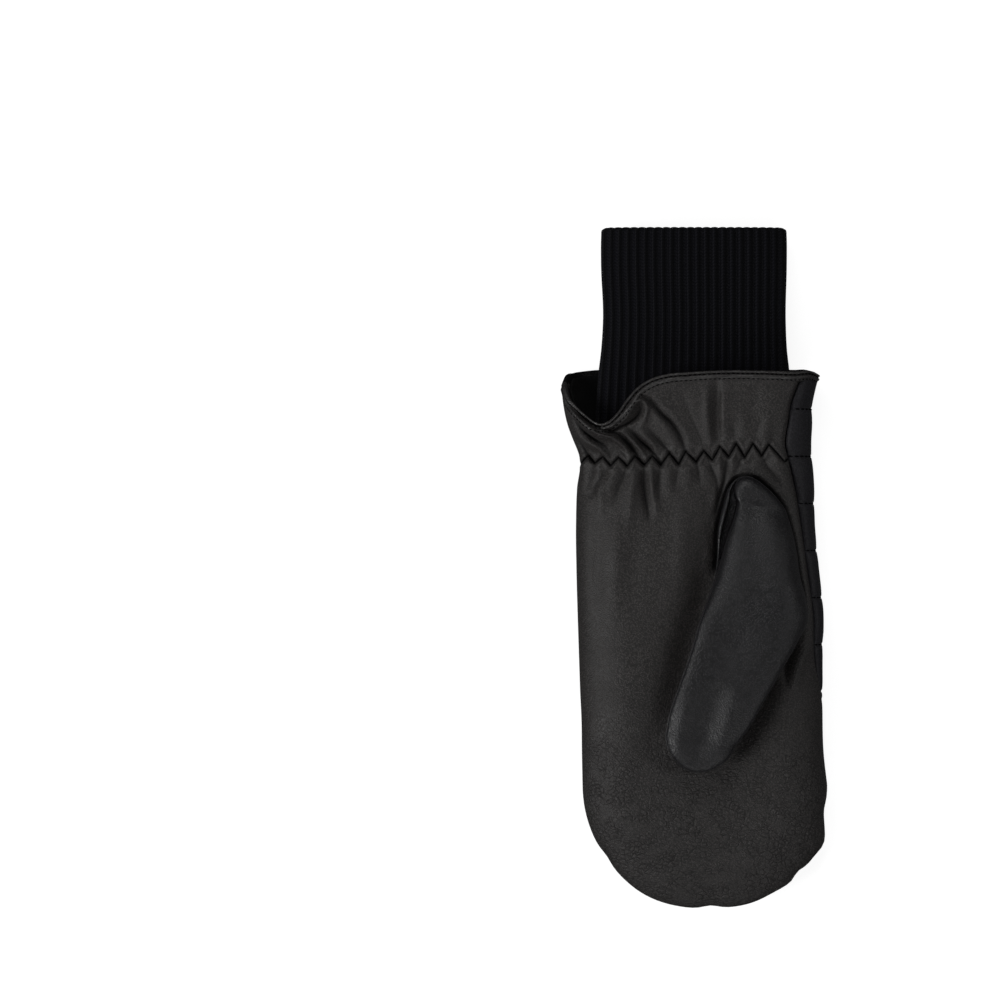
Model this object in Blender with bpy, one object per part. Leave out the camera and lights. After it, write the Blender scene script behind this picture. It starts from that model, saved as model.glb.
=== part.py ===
"""A leather mitten, lying with its palm up and its fingers towards -Y.

The palm is smooth leather, gathered at the wrist, with a flared gauntlet and a hollow thumb turned down
over it. The back is quilted and wraps up over the thumb side. A binding runs round the mouth, a dark
lining shows inside it, and a ribbed knit cuff is seated at the wrist.

Metres, +Z up. The origin is on the surface that the mitten lies on, under the middle of its outline.
"""

from collections import namedtuple
import math

import bmesh
import bpy
import numpy as np

METRES = 0.001  # the sizes and tables below are in millimetres

# Thicknesses of the sheets, and the clearance between pieces
LEATHER = 2.0
PADDED_BACK = 3.0
LINING = 1.0
KNIT = 2.4
GAP = 0.3
SEAM_GAP_ANGLE = 1.0  # each side of the seam between palm and back, in degrees round the edge

# Rounding of the hand's long edges, measured in from the outline
UPPER_ROUNDING = 24.0
LOWER_ROUNDING = 12.0

# Lines across the hand
RIM = 86.0
BINDING_WIDTH = 5.6
LEATHER_TOP = RIM - BINDING_WIDTH - GAP
WRIST = 50.0
WRIST_PINCH = 1.6
WRIST_PINCH_REACH = 3.5
LAST_SECTION = -100.0

# Quilting of the back: channels across the hand
QUILT_FIRST = 72.8
QUILT_PITCH = 21.6
QUILT_LINES = 9
QUILT_DEPTH = 1.2
QUILT_REACH = 3.5

# A row for each section across the hand: its place, the two sides, the middle, the crown's height, the
# height of the widest point, and how far round the thumb side the seam lies (90 is the widest point)
Section = namedtuple("Section", "y left right middle crown edge seam")
SECTIONS = [
    Section(-100, -51.7, 61.1, 4.5, 25.0, 8.0, 80),
    Section(-85, -52.0, 59.4, 4.0, 26.5, 8.5, 80),
    Section(-70, -52.2, 58.9, 3.5, 27.3, 9.0, 80),
    Section(-57, -52.8, 59.0, 3.0, 28.0, 9.0, 102),
    Section(-45, -53.2, 58.9, 2.5, 28.2, 9.0, 117),
    Section(-20, -54.0, 59.3, 2.0, 28.5, 9.0, 125),
    Section(0, -54.5, 57.2, 1.5, 28.3, 9.0, 128),
    Section(20, -54.7, 55.4, 1.0, 27.5, 9.0, 132),
    Section(38, -54.1, 55.0, 0.5, 25.5, 9.5, 141),
    Section(48, -52.9, 54.3, 0.0, 24.6, 10.0, 146),
    Section(56, -53.9, 53.6, -1.0, 25.2, 10.5, 150),
    Section(64, -56.1, 54.0, -2.0, 27.0, 11.0, 148),
    Section(73, -59.1, 54.2, -4.0, 29.0, 11.5, 144),
    Section(80, -61.0, 55.7, -6.0, 30.0, 12.0, 140),
    Section(86, -61.2, 57.3, -6.0, 30.0, 12.0, 138),
]
LEFT_SEAM = 80  # round the little finger's side and the tip, just under the widest point

# The finger tip is two quarter ovals from the last section's middle
TIP_DEPTH = 57.0
TIP_CROWN = 17.0
TIP_POWER_LEFT = 2.0
TIP_POWER_RIGHT = 2.45

# A row for each pucker of the seam round the tip: its bearing from the fingers' direction, and its size
Pucker = namedtuple("Pucker", "bearing reach height")
TIP_PUCKERS = [
    Pucker(-54, 5, -0.8),
    Pucker(-28, 16, 0.9),
    Pucker(3, 5, -1.3),
    Pucker(33, 9, -1.0),
    Pucker(47, 4, -1.6),
    Pucker(64, 6, 2.2),
    Pucker(78, 5, -1.0),
]

# A row for each point of the mouth's edge: where its upper and lower sides lie
MouthPoint = namedtuple("MouthPoint", "x upper lower")
MOUTH = [
    MouthPoint(-61.2, 84.5, 84.5),
    MouthPoint(-59.8, 80.0, 88.2),
    MouthPoint(-56.5, 75.0, 89.8),
    MouthPoint(-52.0, 70.8, 90.6),
    MouthPoint(-47.6, 67.4, 91.1),
    MouthPoint(-43.7, 66.1, 91.4),
    MouthPoint(-40.0, 67.5, 91.4),
    MouthPoint(-36.3, 71.1, 91.4),
    MouthPoint(-31.7, 77.6, 91.4),
    MouthPoint(-27.6, 82.2, 91.4),
    MouthPoint(-21.2, 86.4, 91.4),
    MouthPoint(-13.3, 88.7, 91.4),
    MouthPoint(-3.7, 89.6, 91.4),
    MouthPoint(11.5, 90.4, 91.4),
    MouthPoint(33.0, 90.2, 91.4),
    MouthPoint(46.0, 89.9, 91.4),
    MouthPoint(53.5, 90.3, 91.0),
    MouthPoint(57.3, 88.7, 88.7),
]

# A row for each fold of the palm: its two ends, its sideways bow, and its size (up is positive)
Fold = namedtuple("Fold", "x0 y0 x1 y1 bow reach height")
FOLDS = [
    Fold(-28, 77, -4, 50, 1.0, 4.0, 3.2),
    Fold(-23, 80, -3, 52, 1.5, 2.6, -3.0),
    Fold(-23, 75, -46, 61, -3.0, 3.0, -3.0),
    Fold(-58, 74, -26, 50, -4.0, 3.4, 2.8),
    Fold(-56, 68, -32, 49, -3.0, 2.6, -2.2),
    Fold(-31, 62, -18, 48, 0.0, 2.8, -2.0),
    Fold(9.5, 83, 9.5, 53, 0.0, 3.0, -1.8),
    Fold(-24.5, 50, -24.5, 20, 0.0, 2.4, -2.4),
    Fold(-20.5, 50, -20.5, 18, 0.0, 2.4, 1.6),
    Fold(-16.5, 49, -15.5, 22, 0.0, 2.4, -2.0),
    Fold(-31, 49, -38, 28, 1.5, 3.2, -1.8),
    Fold(-41, 49, -47, 28, 1.5, 3.2, -1.5),
    Fold(2, 50, 3, 20, 0.0, 3.2, -1.6),
    Fold(31, 50, 38, 33, 0.0, 3.2, -1.4),
]
THUMB_BED = Fold(27, 36, 3, -80, 0.0, 12.0, -1.6)  # the palm gives under the thumb

# The thumb lies along a line from the top of its seam to its tip
THUMB_TOP = (29.5, 42.0)
THUMB_TIP = (-2.5, -92.6)
THUMB_CLEAR = 0.5  # over the palm that it lies on

# A row for each section across the thumb: its place along that line, its two sides and its middle, the
# crown's height over the palm, the height of its widest point over the palm, and the depth of the
# gusset's fold beside the seam
ThumbSection = namedtuple("ThumbSection", "along left right middle crown edge fold")
THUMB_SECTIONS = [
    ThumbSection(14, -13.8, 15.6, -4.0, 8.5, 1.2, 3.5),
    ThumbSection(22, -14.0, 20.3, 0.0, 12.0, 1.2, 5.5),
    ThumbSection(30, -13.4, 24.0, 3.5, 14.0, 1.3, 6.0),
    ThumbSection(40, -11.2, 27.9, 7.0, 15.5, 1.6, 4.5),
    ThumbSection(50, -10.2, 33.0, 9.5, 16.5, 2.5, 1.0),
    ThumbSection(58, -11.0, 35.6, 10.5, 16.5, 4.0, 0.0),
    ThumbSection(70, -12.5, 33.1, 10.0, 16.5, 6.0, 0.0),
    ThumbSection(85, -13.3, 28.4, 7.5, 16.5, 7.0, 0.0),
    ThumbSection(100, -14.8, 24.2, 4.5, 16.0, 7.0, 0.0),
    ThumbSection(115, -16.2, 19.8, 1.5, 15.0, 7.0, 0.0),
    ThumbSection(123, -15.8, 16.2, 0.0, 14.0, 6.5, 0.0),
]
# Its two rounded ends: how far each reaches past its section, and the powers of its ovals
ThumbEnd = namedtuple("ThumbEnd", "depth left_power right_power")
THUMB_ARCH = ThumbEnd(12.8, 2.3, 1.3)
THUMB_END = ThumbEnd(15.4, 1.75, 1.75)
THUMB_UNDER_ROUNDING = 6.0
GUSSET_WIDTH = 5.6  # from the seam to the thumb's folded edge, across the strip and the slot beside it
GUSSET_LIP = 4.0  # height of the folded edge over the palm, where the slot is deepest
GUSSET_FLOOR = 1.0
THUMB_PLAIN_WIDTH = 1.2  # the same strip where there is no fold
THUMB_PLAIN_LIP = 0.5

# The hole that joins the thumb to the hand: an oval along the thumb's line
HOLE_CENTRE = (29.5, 3.0)
HOLE_HALF_LENGTH = 22.0
HOLE_HALF_WIDTH = 11.0
HOLE_BELOW = 6.0
HOLE_ABOVE = 3.2

# The knit cuff: a row for each section, from its folded edge to the wrist
CuffSection = namedtuple("CuffSection", "y left right bottom top")
CUFF_SECTIONS = [
    CuffSection(156.6, -41.6, 40.8, 1.8, 17.0),
    CuffSection(155.2, -43.0, 42.2, 0.6, 18.2),
    CuffSection(140.0, -43.2, 42.4, 0.6, 18.6),
    CuffSection(114.0, -42.3, 41.9, 0.8, 19.0),
    CuffSection(100.0, -43.2, 42.4, 2.8, 20.0),
    CuffSection(90.0, -44.4, 43.4, 5.1, 20.6),
    CuffSection(72.0, -45.6, 44.2, 5.1, 20.4),
    CuffSection(54.0, -46.4, 45.0, 5.1, 19.4),
]
CUFF_RIBS = 46
CUFF_RIB_HEIGHT = 0.45
CUFF_POWER = 2.7

# The binding's edge: a row for each place round it, from the leather it covers to the mouth and back
BindingPlace = namedtuple("BindingPlace", "from_rim inset")
BINDING_EDGE = [
    BindingPlace(BINDING_WIDTH, 0.0),
    BindingPlace(1.0, 0.0),
    BindingPlace(0.0, 0.8),
    BindingPlace(0.0, 2.6),
    BindingPlace(1.0, 3.6),
    BindingPlace(BINDING_WIDTH, 3.4),
]

# The lining's depth inside the palm, where it hangs clear of the folds
LINING_AT_RIM = 6.6
LINING_AT_WRIST = 3.7
LINING_ROWS = [LEATHER_TOP, 75, 70, 65, 60, 54]

# How finely the surfaces are divided
PALM_ROWS = [LEATHER_TOP, 78, 75.5, 73, 70.5, 68, 65.5, 63, 60.5, 58, 56, 54, 52, 50, 48, 46, 43.5, 41, 38,
             34.5, 31, 27, 22, 14, 4, -8, -22, -38.7, -53.3, -56.8, -60.3, -74.9, -88, LAST_SECTION]
TIP_STEPS = 14
PALM_BAND_STEPS = 5
PALM_MIDDLE_STEPS = 7
THUMB_ROWS = [14, 20, 26, 32, 39, 46, 52, 58, 64, 72, 84, 98, 112, 123]
ARCH_STEPS = 7
THUMB_TIP_STEPS = 7
THUMB_UNDER_ANGLES = (0, 45)
THUMB_UPPER_ANGLES = (90, 105, 120, 138, 158, 180)
HOLE_STEPS = 20
CUFF_COLUMNS = 2 * CUFF_RIBS
CUFF_OUTER_ROWS = [54, 75, 92, 101, 116, 140, 155.2]
CUFF_INNER_ROWS = [156.6, 152, 112, 92, 54]
CUFF_OUTLINE_STEPS = 720

# Colours: linear red, green and blue, and roughness
LEATHER_BLACK = (0.021, 0.019, 0.019, 0.46)
QUILTED_BLACK = (0.020, 0.019, 0.021, 0.5)
LINING_BLACK = (0.007, 0.007, 0.007, 0.9)
KNIT_BLACK = (0.008, 0.008, 0.010, 0.92)


# Curves and tables

def column(rows, name):
    return np.array([getattr(row, name) for row in rows], dtype=float)


def between(stations, values, at):
    """The value between the rows of a table, on a smooth curve through them."""
    slopes = np.gradient(values, stations)
    place = min(max(at, stations[0]), stations[-1])
    row = min(max(int(np.searchsorted(stations, place)) - 1, 0), len(stations) - 2)
    step = stations[row + 1] - stations[row]
    f = (place - stations[row]) / step
    start = (1 + 2 * f) * (1 - f) ** 2 * values[row] + f * (1 - f) ** 2 * step * slopes[row]
    end = f * f * (3 - 2 * f) * values[row + 1] + f * f * (f - 1) * step * slopes[row + 1]
    return float(start + end)


def table_reader(rows):
    """A function that reads a table's column at any place along its first column."""
    names = rows[0]._fields
    columns = {name: column(rows, name) for name in names}
    return lambda name, at: between(columns[names[0]], columns[name], at)


section = table_reader(SECTIONS)
thumb_section = table_reader(THUMB_SECTIONS)
mouth = table_reader(MOUTH)
cuff_section = table_reader(CUFF_SECTIONS[::-1])


def blend(a, b, f):
    return a + (b - a) * f


def smooth_step(low, high, at):
    f = min(max((at - low) / (high - low), 0.0), 1.0)
    return f * f * (3 - 2 * f)


def oval_radius(bearing, half_width, depth, power):
    """Distance from an oval's middle to its edge, for a bearing in degrees from its depth direction."""
    turn = math.radians(bearing)
    across = abs(math.sin(turn)) / half_width
    along = abs(math.cos(turn)) / depth
    return (across ** power + along ** power) ** (-1 / power)


def fold_height(fold, x, y):
    """A fold's height at a point: a bell across it that fades to nothing at its two ends."""
    run_x, run_y = fold.x1 - fold.x0, fold.y1 - fold.y0
    length = math.hypot(run_x, run_y)
    ahead = ((x - fold.x0) * run_x + (y - fold.y0) * run_y) / length
    aside = ((x - fold.x0) * run_y - (y - fold.y0) * run_x) / length
    f = min(max(ahead / length, 0.0), 1.0)
    arch = 4 * f * (1 - f)
    aside -= fold.bow * arch
    past = ahead - f * length
    return fold.height * math.sqrt(arch) * math.exp(-(aside * aside + past * past) / fold.reach ** 2)


# The hand's surface: rays run from the outline to the middle line, and from the last section's middle
# to the tip. A place on a ray is an angle round the hand's edge and then a share of the way to the middle.

Ray = namedtuple("Ray", "outline middle seam y")


def side_ray(y, side):
    seam = section("seam", y) if side == "right" else LEFT_SEAM
    return Ray((section(side, y), y), (section("middle", y), y), seam, y)


def tip_ray(bearing):
    middle_x = section("middle", LAST_SECTION)
    side = "right" if bearing > 0 else "left"
    power = TIP_POWER_RIGHT if bearing > 0 else TIP_POWER_LEFT
    reach = oval_radius(bearing, abs(section(side, LAST_SECTION) - middle_x), TIP_DEPTH, power)
    for pucker in TIP_PUCKERS:
        reach += pucker.height * math.exp(-((bearing - pucker.bearing) / pucker.reach) ** 2)
    turn = math.radians(bearing)
    outline = (middle_x + reach * math.sin(turn), LAST_SECTION - reach * math.cos(turn))
    return Ray(outline, (middle_x, LAST_SECTION), LEFT_SEAM, LAST_SECTION)


def hand_rays(rows):
    """Rays down the left side, round the tip and up the right side."""
    left = [side_ray(y, "left") for y in rows]
    tip = [tip_ray(-90 + 180 * i / TIP_STEPS) for i in range(1, TIP_STEPS)]
    right = [side_ray(y, "right") for y in reversed(rows)]
    return left + tip + right


def edge_depth(angle, inset):
    """How far in from the outline a place round the edge is: 0 is under, 90 the widest, 180 above."""
    rounding = LOWER_ROUNDING if angle <= 90 else UPPER_ROUNDING
    return inset + (rounding - inset) * (1 - math.sin(math.radians(angle)))


def place_on_ray(ray, angle, share, inset):
    length = math.dist(ray.outline, ray.middle)
    depth = blend(edge_depth(angle, inset), length, share)
    return [blend(a, b, depth / length) for a, b in zip(ray.outline, ray.middle)]


def mouth_shift(x, y, angle):
    """How far a point of the gauntlet moves, so that its rows follow the mouth's edge near it."""
    if y <= WRIST:
        return 0.0, 0.0
    name = "upper" if angle > 90 else "lower"
    seam_line = RIM - BINDING_WIDTH
    from_rim = RIM - max(y, seam_line)
    rise = max(-math.cos(math.radians(angle)), 0.0)
    slope = (mouth(name, x + 0.5) - mouth(name, x - 0.5)) * rise ** 3
    stretch = math.hypot(1.0, slope)
    rim_x = x + from_rim * slope / stretch
    rim_y = mouth(name, x) - from_rim / stretch
    f = min((y - WRIST) / (seam_line - WRIST), 1.0)
    return (rim_x - x) * f, blend(WRIST, rim_y, f) - y


def palm_relief(x, y):
    """Folds, gathers and the wrist's pinch, as height over the plain palm."""
    relief = sum(fold_height(fold, x, y) for fold in FOLDS)
    relief += fold_height(THUMB_BED, x, y)
    relief -= WRIST_PINCH * math.exp(-((y - WRIST) / WRIST_PINCH_REACH) ** 2)
    return relief


def hand_point(ray, angle, share, inset, folded=True):
    """A point of the hand's surface, inset from its outer face, with or without the palm's folds."""
    x, y = place_on_ray(ray, angle, share, inset)
    outer_x, _ = place_on_ray(ray, angle, share, 0)
    shift_x, shift_y = mouth_shift(outer_x, ray.y, angle)
    x, y = x + shift_x, y + shift_y
    edge = section("edge", ray.y)
    turn = math.cos(math.radians(angle))
    if angle <= 90:
        return x, y, blend(edge, inset, turn)
    crown = section("crown", ray.y) - (section("crown", LAST_SECTION) - TIP_CROWN) * tip_share(y)
    relief = palm_relief(x, y) if folded else 0.0
    return x, y, blend(edge, crown - inset + relief, -turn)


def tip_share(y):
    return smooth_step(LAST_SECTION, LAST_SECTION - TIP_DEPTH, y)


def palm_height(x, y):
    """The palm's height between the wrist and the last section."""
    depth = min(x - section("left", y), section("right", y) - x, UPPER_ROUNDING)
    rise = math.sqrt(max(1 - (1 - depth / UPPER_ROUNDING) ** 2, 0.0))
    return blend(section("edge", y), section("crown", y) + palm_relief(x, y), rise)


def quilt_groove(y):
    line = QUILT_FIRST - QUILT_PITCH * round((QUILT_FIRST - y) / QUILT_PITCH)
    off = abs(y - line) / QUILT_REACH
    return QUILT_DEPTH * math.cos(math.pi / 2 * min(off, 1.0)) ** 2


def palm_places(seam):
    """Places on a ray from the seam, up round the edge and on to the middle line."""
    band = [(blend(seam, 180, i / PALM_BAND_STEPS), 0) for i in range(PALM_BAND_STEPS)]
    return band + [(180, i / PALM_MIDDLE_STEPS) for i in range(PALM_MIDDLE_STEPS + 1)]


def back_places(seam):
    """Places on a ray from the seam, down round the edge and under to the middle line."""
    if seam > 90:
        angles = [seam, (seam + 90) / 2, 90, 60, 30, 0]
    else:
        angles = [seam * (1 - i / 5) for i in range(6)]
    return [(angle, 0) for angle in angles] + [(0, 0.5), (0, 1)]


def mouth_loop(y, inset, folded=False):
    """A closed loop round the hand at one of the gauntlet's rows: over the palm, then under the back."""
    left, right = side_ray(y, "left"), side_ray(y, "right")
    over = [(left, place) for place in palm_places(left.seam)]
    over += [(right, place) for place in palm_places(right.seam)[-2::-1]]
    under = [(right, place) for place in back_places(right.seam)[1:]]
    under += [(left, place) for place in back_places(left.seam)[-2:0:-1]]
    return [hand_point(ray, angle, share, inset(angle), folded) for ray, (angle, share) in over + under]


# Meshes

def material(name, look):
    red, green, blue, roughness = look
    made = bpy.data.materials.new(name)
    made.use_nodes = True
    shader = made.node_tree.nodes["Principled BSDF"]
    shader.inputs["Base Color"].default_value = (red, green, blue, 1.0)
    shader.inputs["Roughness"].default_value = roughness
    shader.inputs["Metallic"].default_value = 0.0
    return made


def add_object(name, made, look, group):
    """Merges the points that neighbouring strips share and makes the closed mesh an object."""
    bmesh.ops.remove_doubles(made, verts=made.verts, dist=1e-6)
    bmesh.ops.recalc_face_normals(made, faces=made.faces)
    mesh = bpy.data.meshes.new(name)
    made.to_mesh(mesh)
    made.free()
    mesh.shade_smooth()
    piece = bpy.data.objects.new(name, mesh)
    if look:
        mesh.materials.append(material(name, look))
    group.objects.link(piece)
    return piece


def add_grid(made, points):
    return [[made.verts.new([METRES * c for c in point]) for point in row] for row in points]


def add_strip(made, row, next_row):
    for a, b, c, d in zip(row, row[1:], next_row[1:], next_row):
        made.faces.new((a, b, c, d))


def walled_sheet(outer, inner):
    """A wall between two grids whose last columns meet in the middle, so that only three borders close."""
    made = bmesh.new()
    outside, inside = add_grid(made, outer), add_grid(made, inner)
    for layer in (outside, inside):
        for row, next_row in zip(layer, layer[1:]):
            add_strip(made, row, next_row)
    add_strip(made, outside[0], inside[0])
    add_strip(made, outside[-1], inside[-1])
    add_strip(made, [row[0] for row in outside], [row[0] for row in inside])
    return made


def ring_solid(rings):
    """A solid between closed rings, each joined to the next and the last to the first."""
    made = bmesh.new()
    grid = [row + row[:1] for row in add_grid(made, rings)]
    for row, next_row in zip(grid, grid[1:] + grid[:1]):
        add_strip(made, row, next_row)
    return made


# The hand

def make_palm(group, hole):
    def layer(inset):
        return [[hand_point(ray, angle, share, inset) for angle, share in palm_places(ray.seam + SEAM_GAP_ANGLE)]
                for ray in hand_rays(PALM_ROWS)]

    palm = add_object("palm", walled_sheet(layer(0), layer(LEATHER)), LEATHER_BLACK, group)
    cut(palm, hole)


def back_rows():
    """The first row, three rows for each quilting line and the last section."""
    lines = [QUILT_FIRST - QUILT_PITCH * i for i in range(QUILT_LINES)]
    rows = [line + off for line in lines for off in (QUILT_REACH, 0, -QUILT_REACH)]
    return [LEATHER_TOP] + [y for y in rows if y >= LAST_SECTION]


def make_back(group):
    def layer(inset):
        return [[hand_point(ray, angle, share, inset or quilt_groove(ray.y))
                 for angle, share in back_places(ray.seam - SEAM_GAP_ANGLE)]
                for ray in hand_rays(back_rows())]

    add_object("back", walled_sheet(layer(0), layer(PADDED_BACK)), QUILTED_BLACK, group)


def make_rim_binding(group):
    rings = [mouth_loop(RIM - place.from_rim, lambda angle: place.inset, True) for place in BINDING_EDGE]
    add_object("rim_binding", ring_solid(rings), LEATHER_BLACK, group)


def lining_inset(y, angle):
    """The lining hangs clear of the palm's folds and lies on the back."""
    over = blend(LINING_AT_WRIST, LINING_AT_RIM, smooth_step(WRIST, LEATHER_TOP, y))
    return blend(PADDED_BACK + GAP, over, smooth_step(60, 130, angle))


def make_gauntlet_lining(group):
    outside = [mouth_loop(y, lambda angle: lining_inset(y, angle)) for y in LINING_ROWS]
    inside = [mouth_loop(y, lambda angle: lining_inset(y, angle) + LINING) for y in LINING_ROWS]
    add_object("gauntlet_lining", ring_solid(outside + inside[::-1]), LINING_BLACK, group)


# The thumb: rays run from its outline to its middle line

def thumb_frame():
    run = np.subtract(THUMB_TIP, THUMB_TOP)
    along = run / np.hypot(*run)
    return along, np.array([-along[1], along[0]])


def thumb_place(along, across):
    forward, aside = thumb_frame()
    return np.array(THUMB_TOP) + forward * along + aside * across


ThumbRay = namedtuple("ThumbRay", "outline middle along crown")


def thumb_side_ray(along, side):
    middle = thumb_place(along, thumb_section("middle", along))
    crown = thumb_section("crown", along)
    return ThumbRay(thumb_place(along, thumb_section(side, along)), middle, along, crown)


def thumb_end_ray(bearing, along, end, forward):
    """A ray of a rounded end: forward is -1 at the seam's arch and 1 at the tip."""
    middle = thumb_section("middle", along)
    side = "right" if bearing > 0 else "left"
    half = abs(thumb_section(side, along) - middle)
    power = end.right_power if bearing > 0 else end.left_power
    reach = oval_radius(bearing, half, end.depth, power)
    turn = math.radians(bearing)
    outline = thumb_place(along + forward * reach * math.cos(turn), middle + reach * math.sin(turn))
    crown = thumb_section("crown", along)
    return ThumbRay(outline, thumb_place(along, middle), along, crown)


def thumb_rays():
    """Rays all round the thumb: the arch, down the right side, the tip, and up the left side."""
    first, last = THUMB_SECTIONS[0].along, THUMB_SECTIONS[-1].along
    arch = [thumb_end_ray(-90 + 180 * i / ARCH_STEPS, first, THUMB_ARCH, -1) for i in range(1, ARCH_STEPS)]
    tip = [thumb_end_ray(90 - 180 * i / THUMB_TIP_STEPS, last, THUMB_END, 1) for i in range(1, THUMB_TIP_STEPS)]
    right = [thumb_side_ray(along, "right") for along in THUMB_ROWS]
    left = [thumb_side_ray(along, "left") for along in reversed(THUMB_ROWS)]
    folded = [0.0] * len(arch + right + tip)
    return list(zip(arch + right + tip + left, folded + [gusset_share(ray.along) for ray in left]))


def gusset_share(along):
    return thumb_section("fold", along) / max(row.fold for row in THUMB_SECTIONS)


def thumb_point(ray, depth, height):
    length = math.dist(ray.outline, ray.middle)
    x, y = [blend(a, b, min(depth / length, 1.0)) for a, b in zip(ray.outline, ray.middle)]
    return x, y, palm_height(x, y) + height


def gusset_line(gusset, edge, lip):
    """Depths and heights from the seam: over the strip, into the slot and up to the folded edge."""
    width = blend(THUMB_PLAIN_WIDTH, GUSSET_WIDTH, gusset)
    strip = blend(edge + 0.2 * (lip - edge), edge + 0.8, gusset)
    slot = blend(edge + 0.6 * (lip - edge), GUSSET_FLOOR, gusset)
    return [(0, edge), (0.35 * width, strip), (0.75 * width, slot), (width, lip)]


def arc_up(ray, start, edge, crown, angles):
    """Depths and heights from the edge up to the crown on the middle line."""
    length = math.dist(ray.outline, ray.middle)
    turns = [math.radians(angle) for angle in angles]
    return [(blend(length, start, math.sin(turn)), blend(edge, crown, -math.cos(turn))) for turn in turns]


def arc_under(ray, start, edge, floor):
    """Depths and heights from the middle line, along the thumb's underside and round to its edge."""
    length = math.dist(ray.outline, ray.middle)
    under = min(THUMB_UNDER_ROUNDING, (length - start) / 2)
    turns = [math.radians(angle) for angle in THUMB_UNDER_ANGLES]
    flat = [(length, floor), (blend(start + under, length, 0.5), floor)]
    return flat + [(start + under * (1 - math.sin(turn)), blend(edge, floor, math.cos(turn))) for turn in turns]


def thumb_outside(ray, gusset):
    edge = thumb_section("edge", ray.along)
    lip = edge + GUSSET_LIP * max(gusset, THUMB_PLAIN_LIP)
    line = gusset_line(gusset, edge, lip)
    return arc_under(ray, 0, edge, THUMB_CLEAR) + line[:-1] + arc_up(ray, line[-1][0], lip, ray.crown, THUMB_UPPER_ANGLES)


def thumb_inside(ray, gusset):
    """The hollow stays inside the folded edge, and further in where the thumb's edge is thin."""
    floor = THUMB_CLEAR + LEATHER
    edge = max(thumb_section("edge", ray.along), floor + LEATHER / 2)
    start = LEATHER + gusset * GUSSET_WIDTH + (edge - thumb_section("edge", ray.along)) / 2
    return arc_under(ray, start, edge, floor) + arc_up(ray, start, edge, ray.crown - LEATHER, THUMB_UPPER_ANGLES)


def thumb_surface(profile):
    made = bmesh.new()
    grid = add_grid(made, [[thumb_point(ray, *place) for place in profile(ray, gusset)]
                           for ray, gusset in thumb_rays()])
    for row, next_row in zip(grid, grid[1:] + grid[:1]):
        add_strip(made, row, next_row)
    return made


def make_thumb(group, hollow, hole):
    thumb = add_object("thumb", thumb_surface(thumb_outside), LEATHER_BLACK, group)
    cut(thumb, hollow)
    cut(thumb, hole)


# Cutters

def make_hole(cutters):
    """An oval plug through the palm and the thumb's underside, which follows the palm's height."""
    forward, aside = thumb_frame()
    made = bmesh.new()
    rings = []
    for off in (-HOLE_BELOW, HOLE_ABOVE):
        ring = []
        for i in range(HOLE_STEPS):
            turn = 2 * math.pi * i / HOLE_STEPS
            place = np.array(HOLE_CENTRE) + forward * HOLE_HALF_LENGTH * math.cos(turn)
            x, y = place + aside * HOLE_HALF_WIDTH * math.sin(turn)
            ring.append((x, y, palm_height(x, y) + off))
        rings.append(ring + ring[:1])
    grid = add_grid(made, rings)
    add_strip(made, *grid)
    bmesh.ops.remove_doubles(made, verts=made.verts, dist=1e-6)
    bmesh.ops.holes_fill(made, edges=made.edges, sides=0)
    return as_cutter(add_object("hole_cutter", made, None, cutters))


def as_cutter(piece):
    piece.hide_render = True
    piece.display_type = "WIRE"
    return piece


def cut(piece, cutter):
    difference = piece.modifiers.new(cutter.name, "BOOLEAN")
    difference.operation = "DIFFERENCE"
    difference.solver = "EXACT"
    difference.object = cutter


# The knit cuff

def even_loop(half_width, half_height, power, count, steps):
    """Points spaced evenly round an oval with flattened sides, with the outward direction at each."""
    turns = np.linspace(0, 2 * np.pi, steps + 1)
    x = half_width * np.sign(np.cos(turns)) * np.abs(np.cos(turns)) ** (2 / power)
    z = half_height * np.sign(np.sin(turns)) * np.abs(np.sin(turns)) ** (2 / power)
    run = np.concatenate([[0], np.cumsum(np.hypot(np.diff(x), np.diff(z)))])
    even = np.linspace(0, run[-1], count, endpoint=False)
    return np.interp(even, run, x), np.interp(even, run, z)


def cuff_ring(y, inset, ribs):
    left, right = cuff_section("left", y), cuff_section("right", y)
    bottom, top = cuff_section("bottom", y), cuff_section("top", y)
    rib = np.where(np.arange(CUFF_COLUMNS) % 2 == 0, ribs, -ribs)
    half_width, half_height = (right - left) / 2, (top - bottom) / 2
    across, up = even_loop(half_width - inset, half_height - inset, CUFF_POWER, CUFF_COLUMNS, CUFF_OUTLINE_STEPS)
    across, up = across * (1 + rib / half_width), up * (1 + rib / half_height)
    return [((left + right) / 2 + a, y, (bottom + top) / 2 + b) for a, b in zip(across, up)]


def make_knit_cuff(group):
    rings = [cuff_ring(y, 0, CUFF_RIB_HEIGHT) for y in CUFF_OUTER_ROWS]
    rings += [cuff_ring(y, KNIT, CUFF_RIB_HEIGHT) for y in CUFF_INNER_ROWS]
    add_object("knit_cuff", ring_solid(rings), KNIT_BLACK, group)


# The whole mitten

def new_collection(name):
    made = bpy.data.collections.new(name)
    bpy.context.scene.collection.children.link(made)
    return made


def main():
    for old in list(bpy.data.objects):
        bpy.data.objects.remove(old, do_unlink=True)
    mitten, cutters = new_collection("mitten"), new_collection("cutters")
    hole = make_hole(cutters)
    hollow = as_cutter(add_object("hollow_cutter", thumb_surface(thumb_inside), None, cutters))
    make_palm(mitten, hole)
    make_back(mitten)
    make_thumb(mitten, hollow, hole)
    make_rim_binding(mitten)
    make_gauntlet_lining(mitten)
    make_knit_cuff(mitten)


main()
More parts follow.
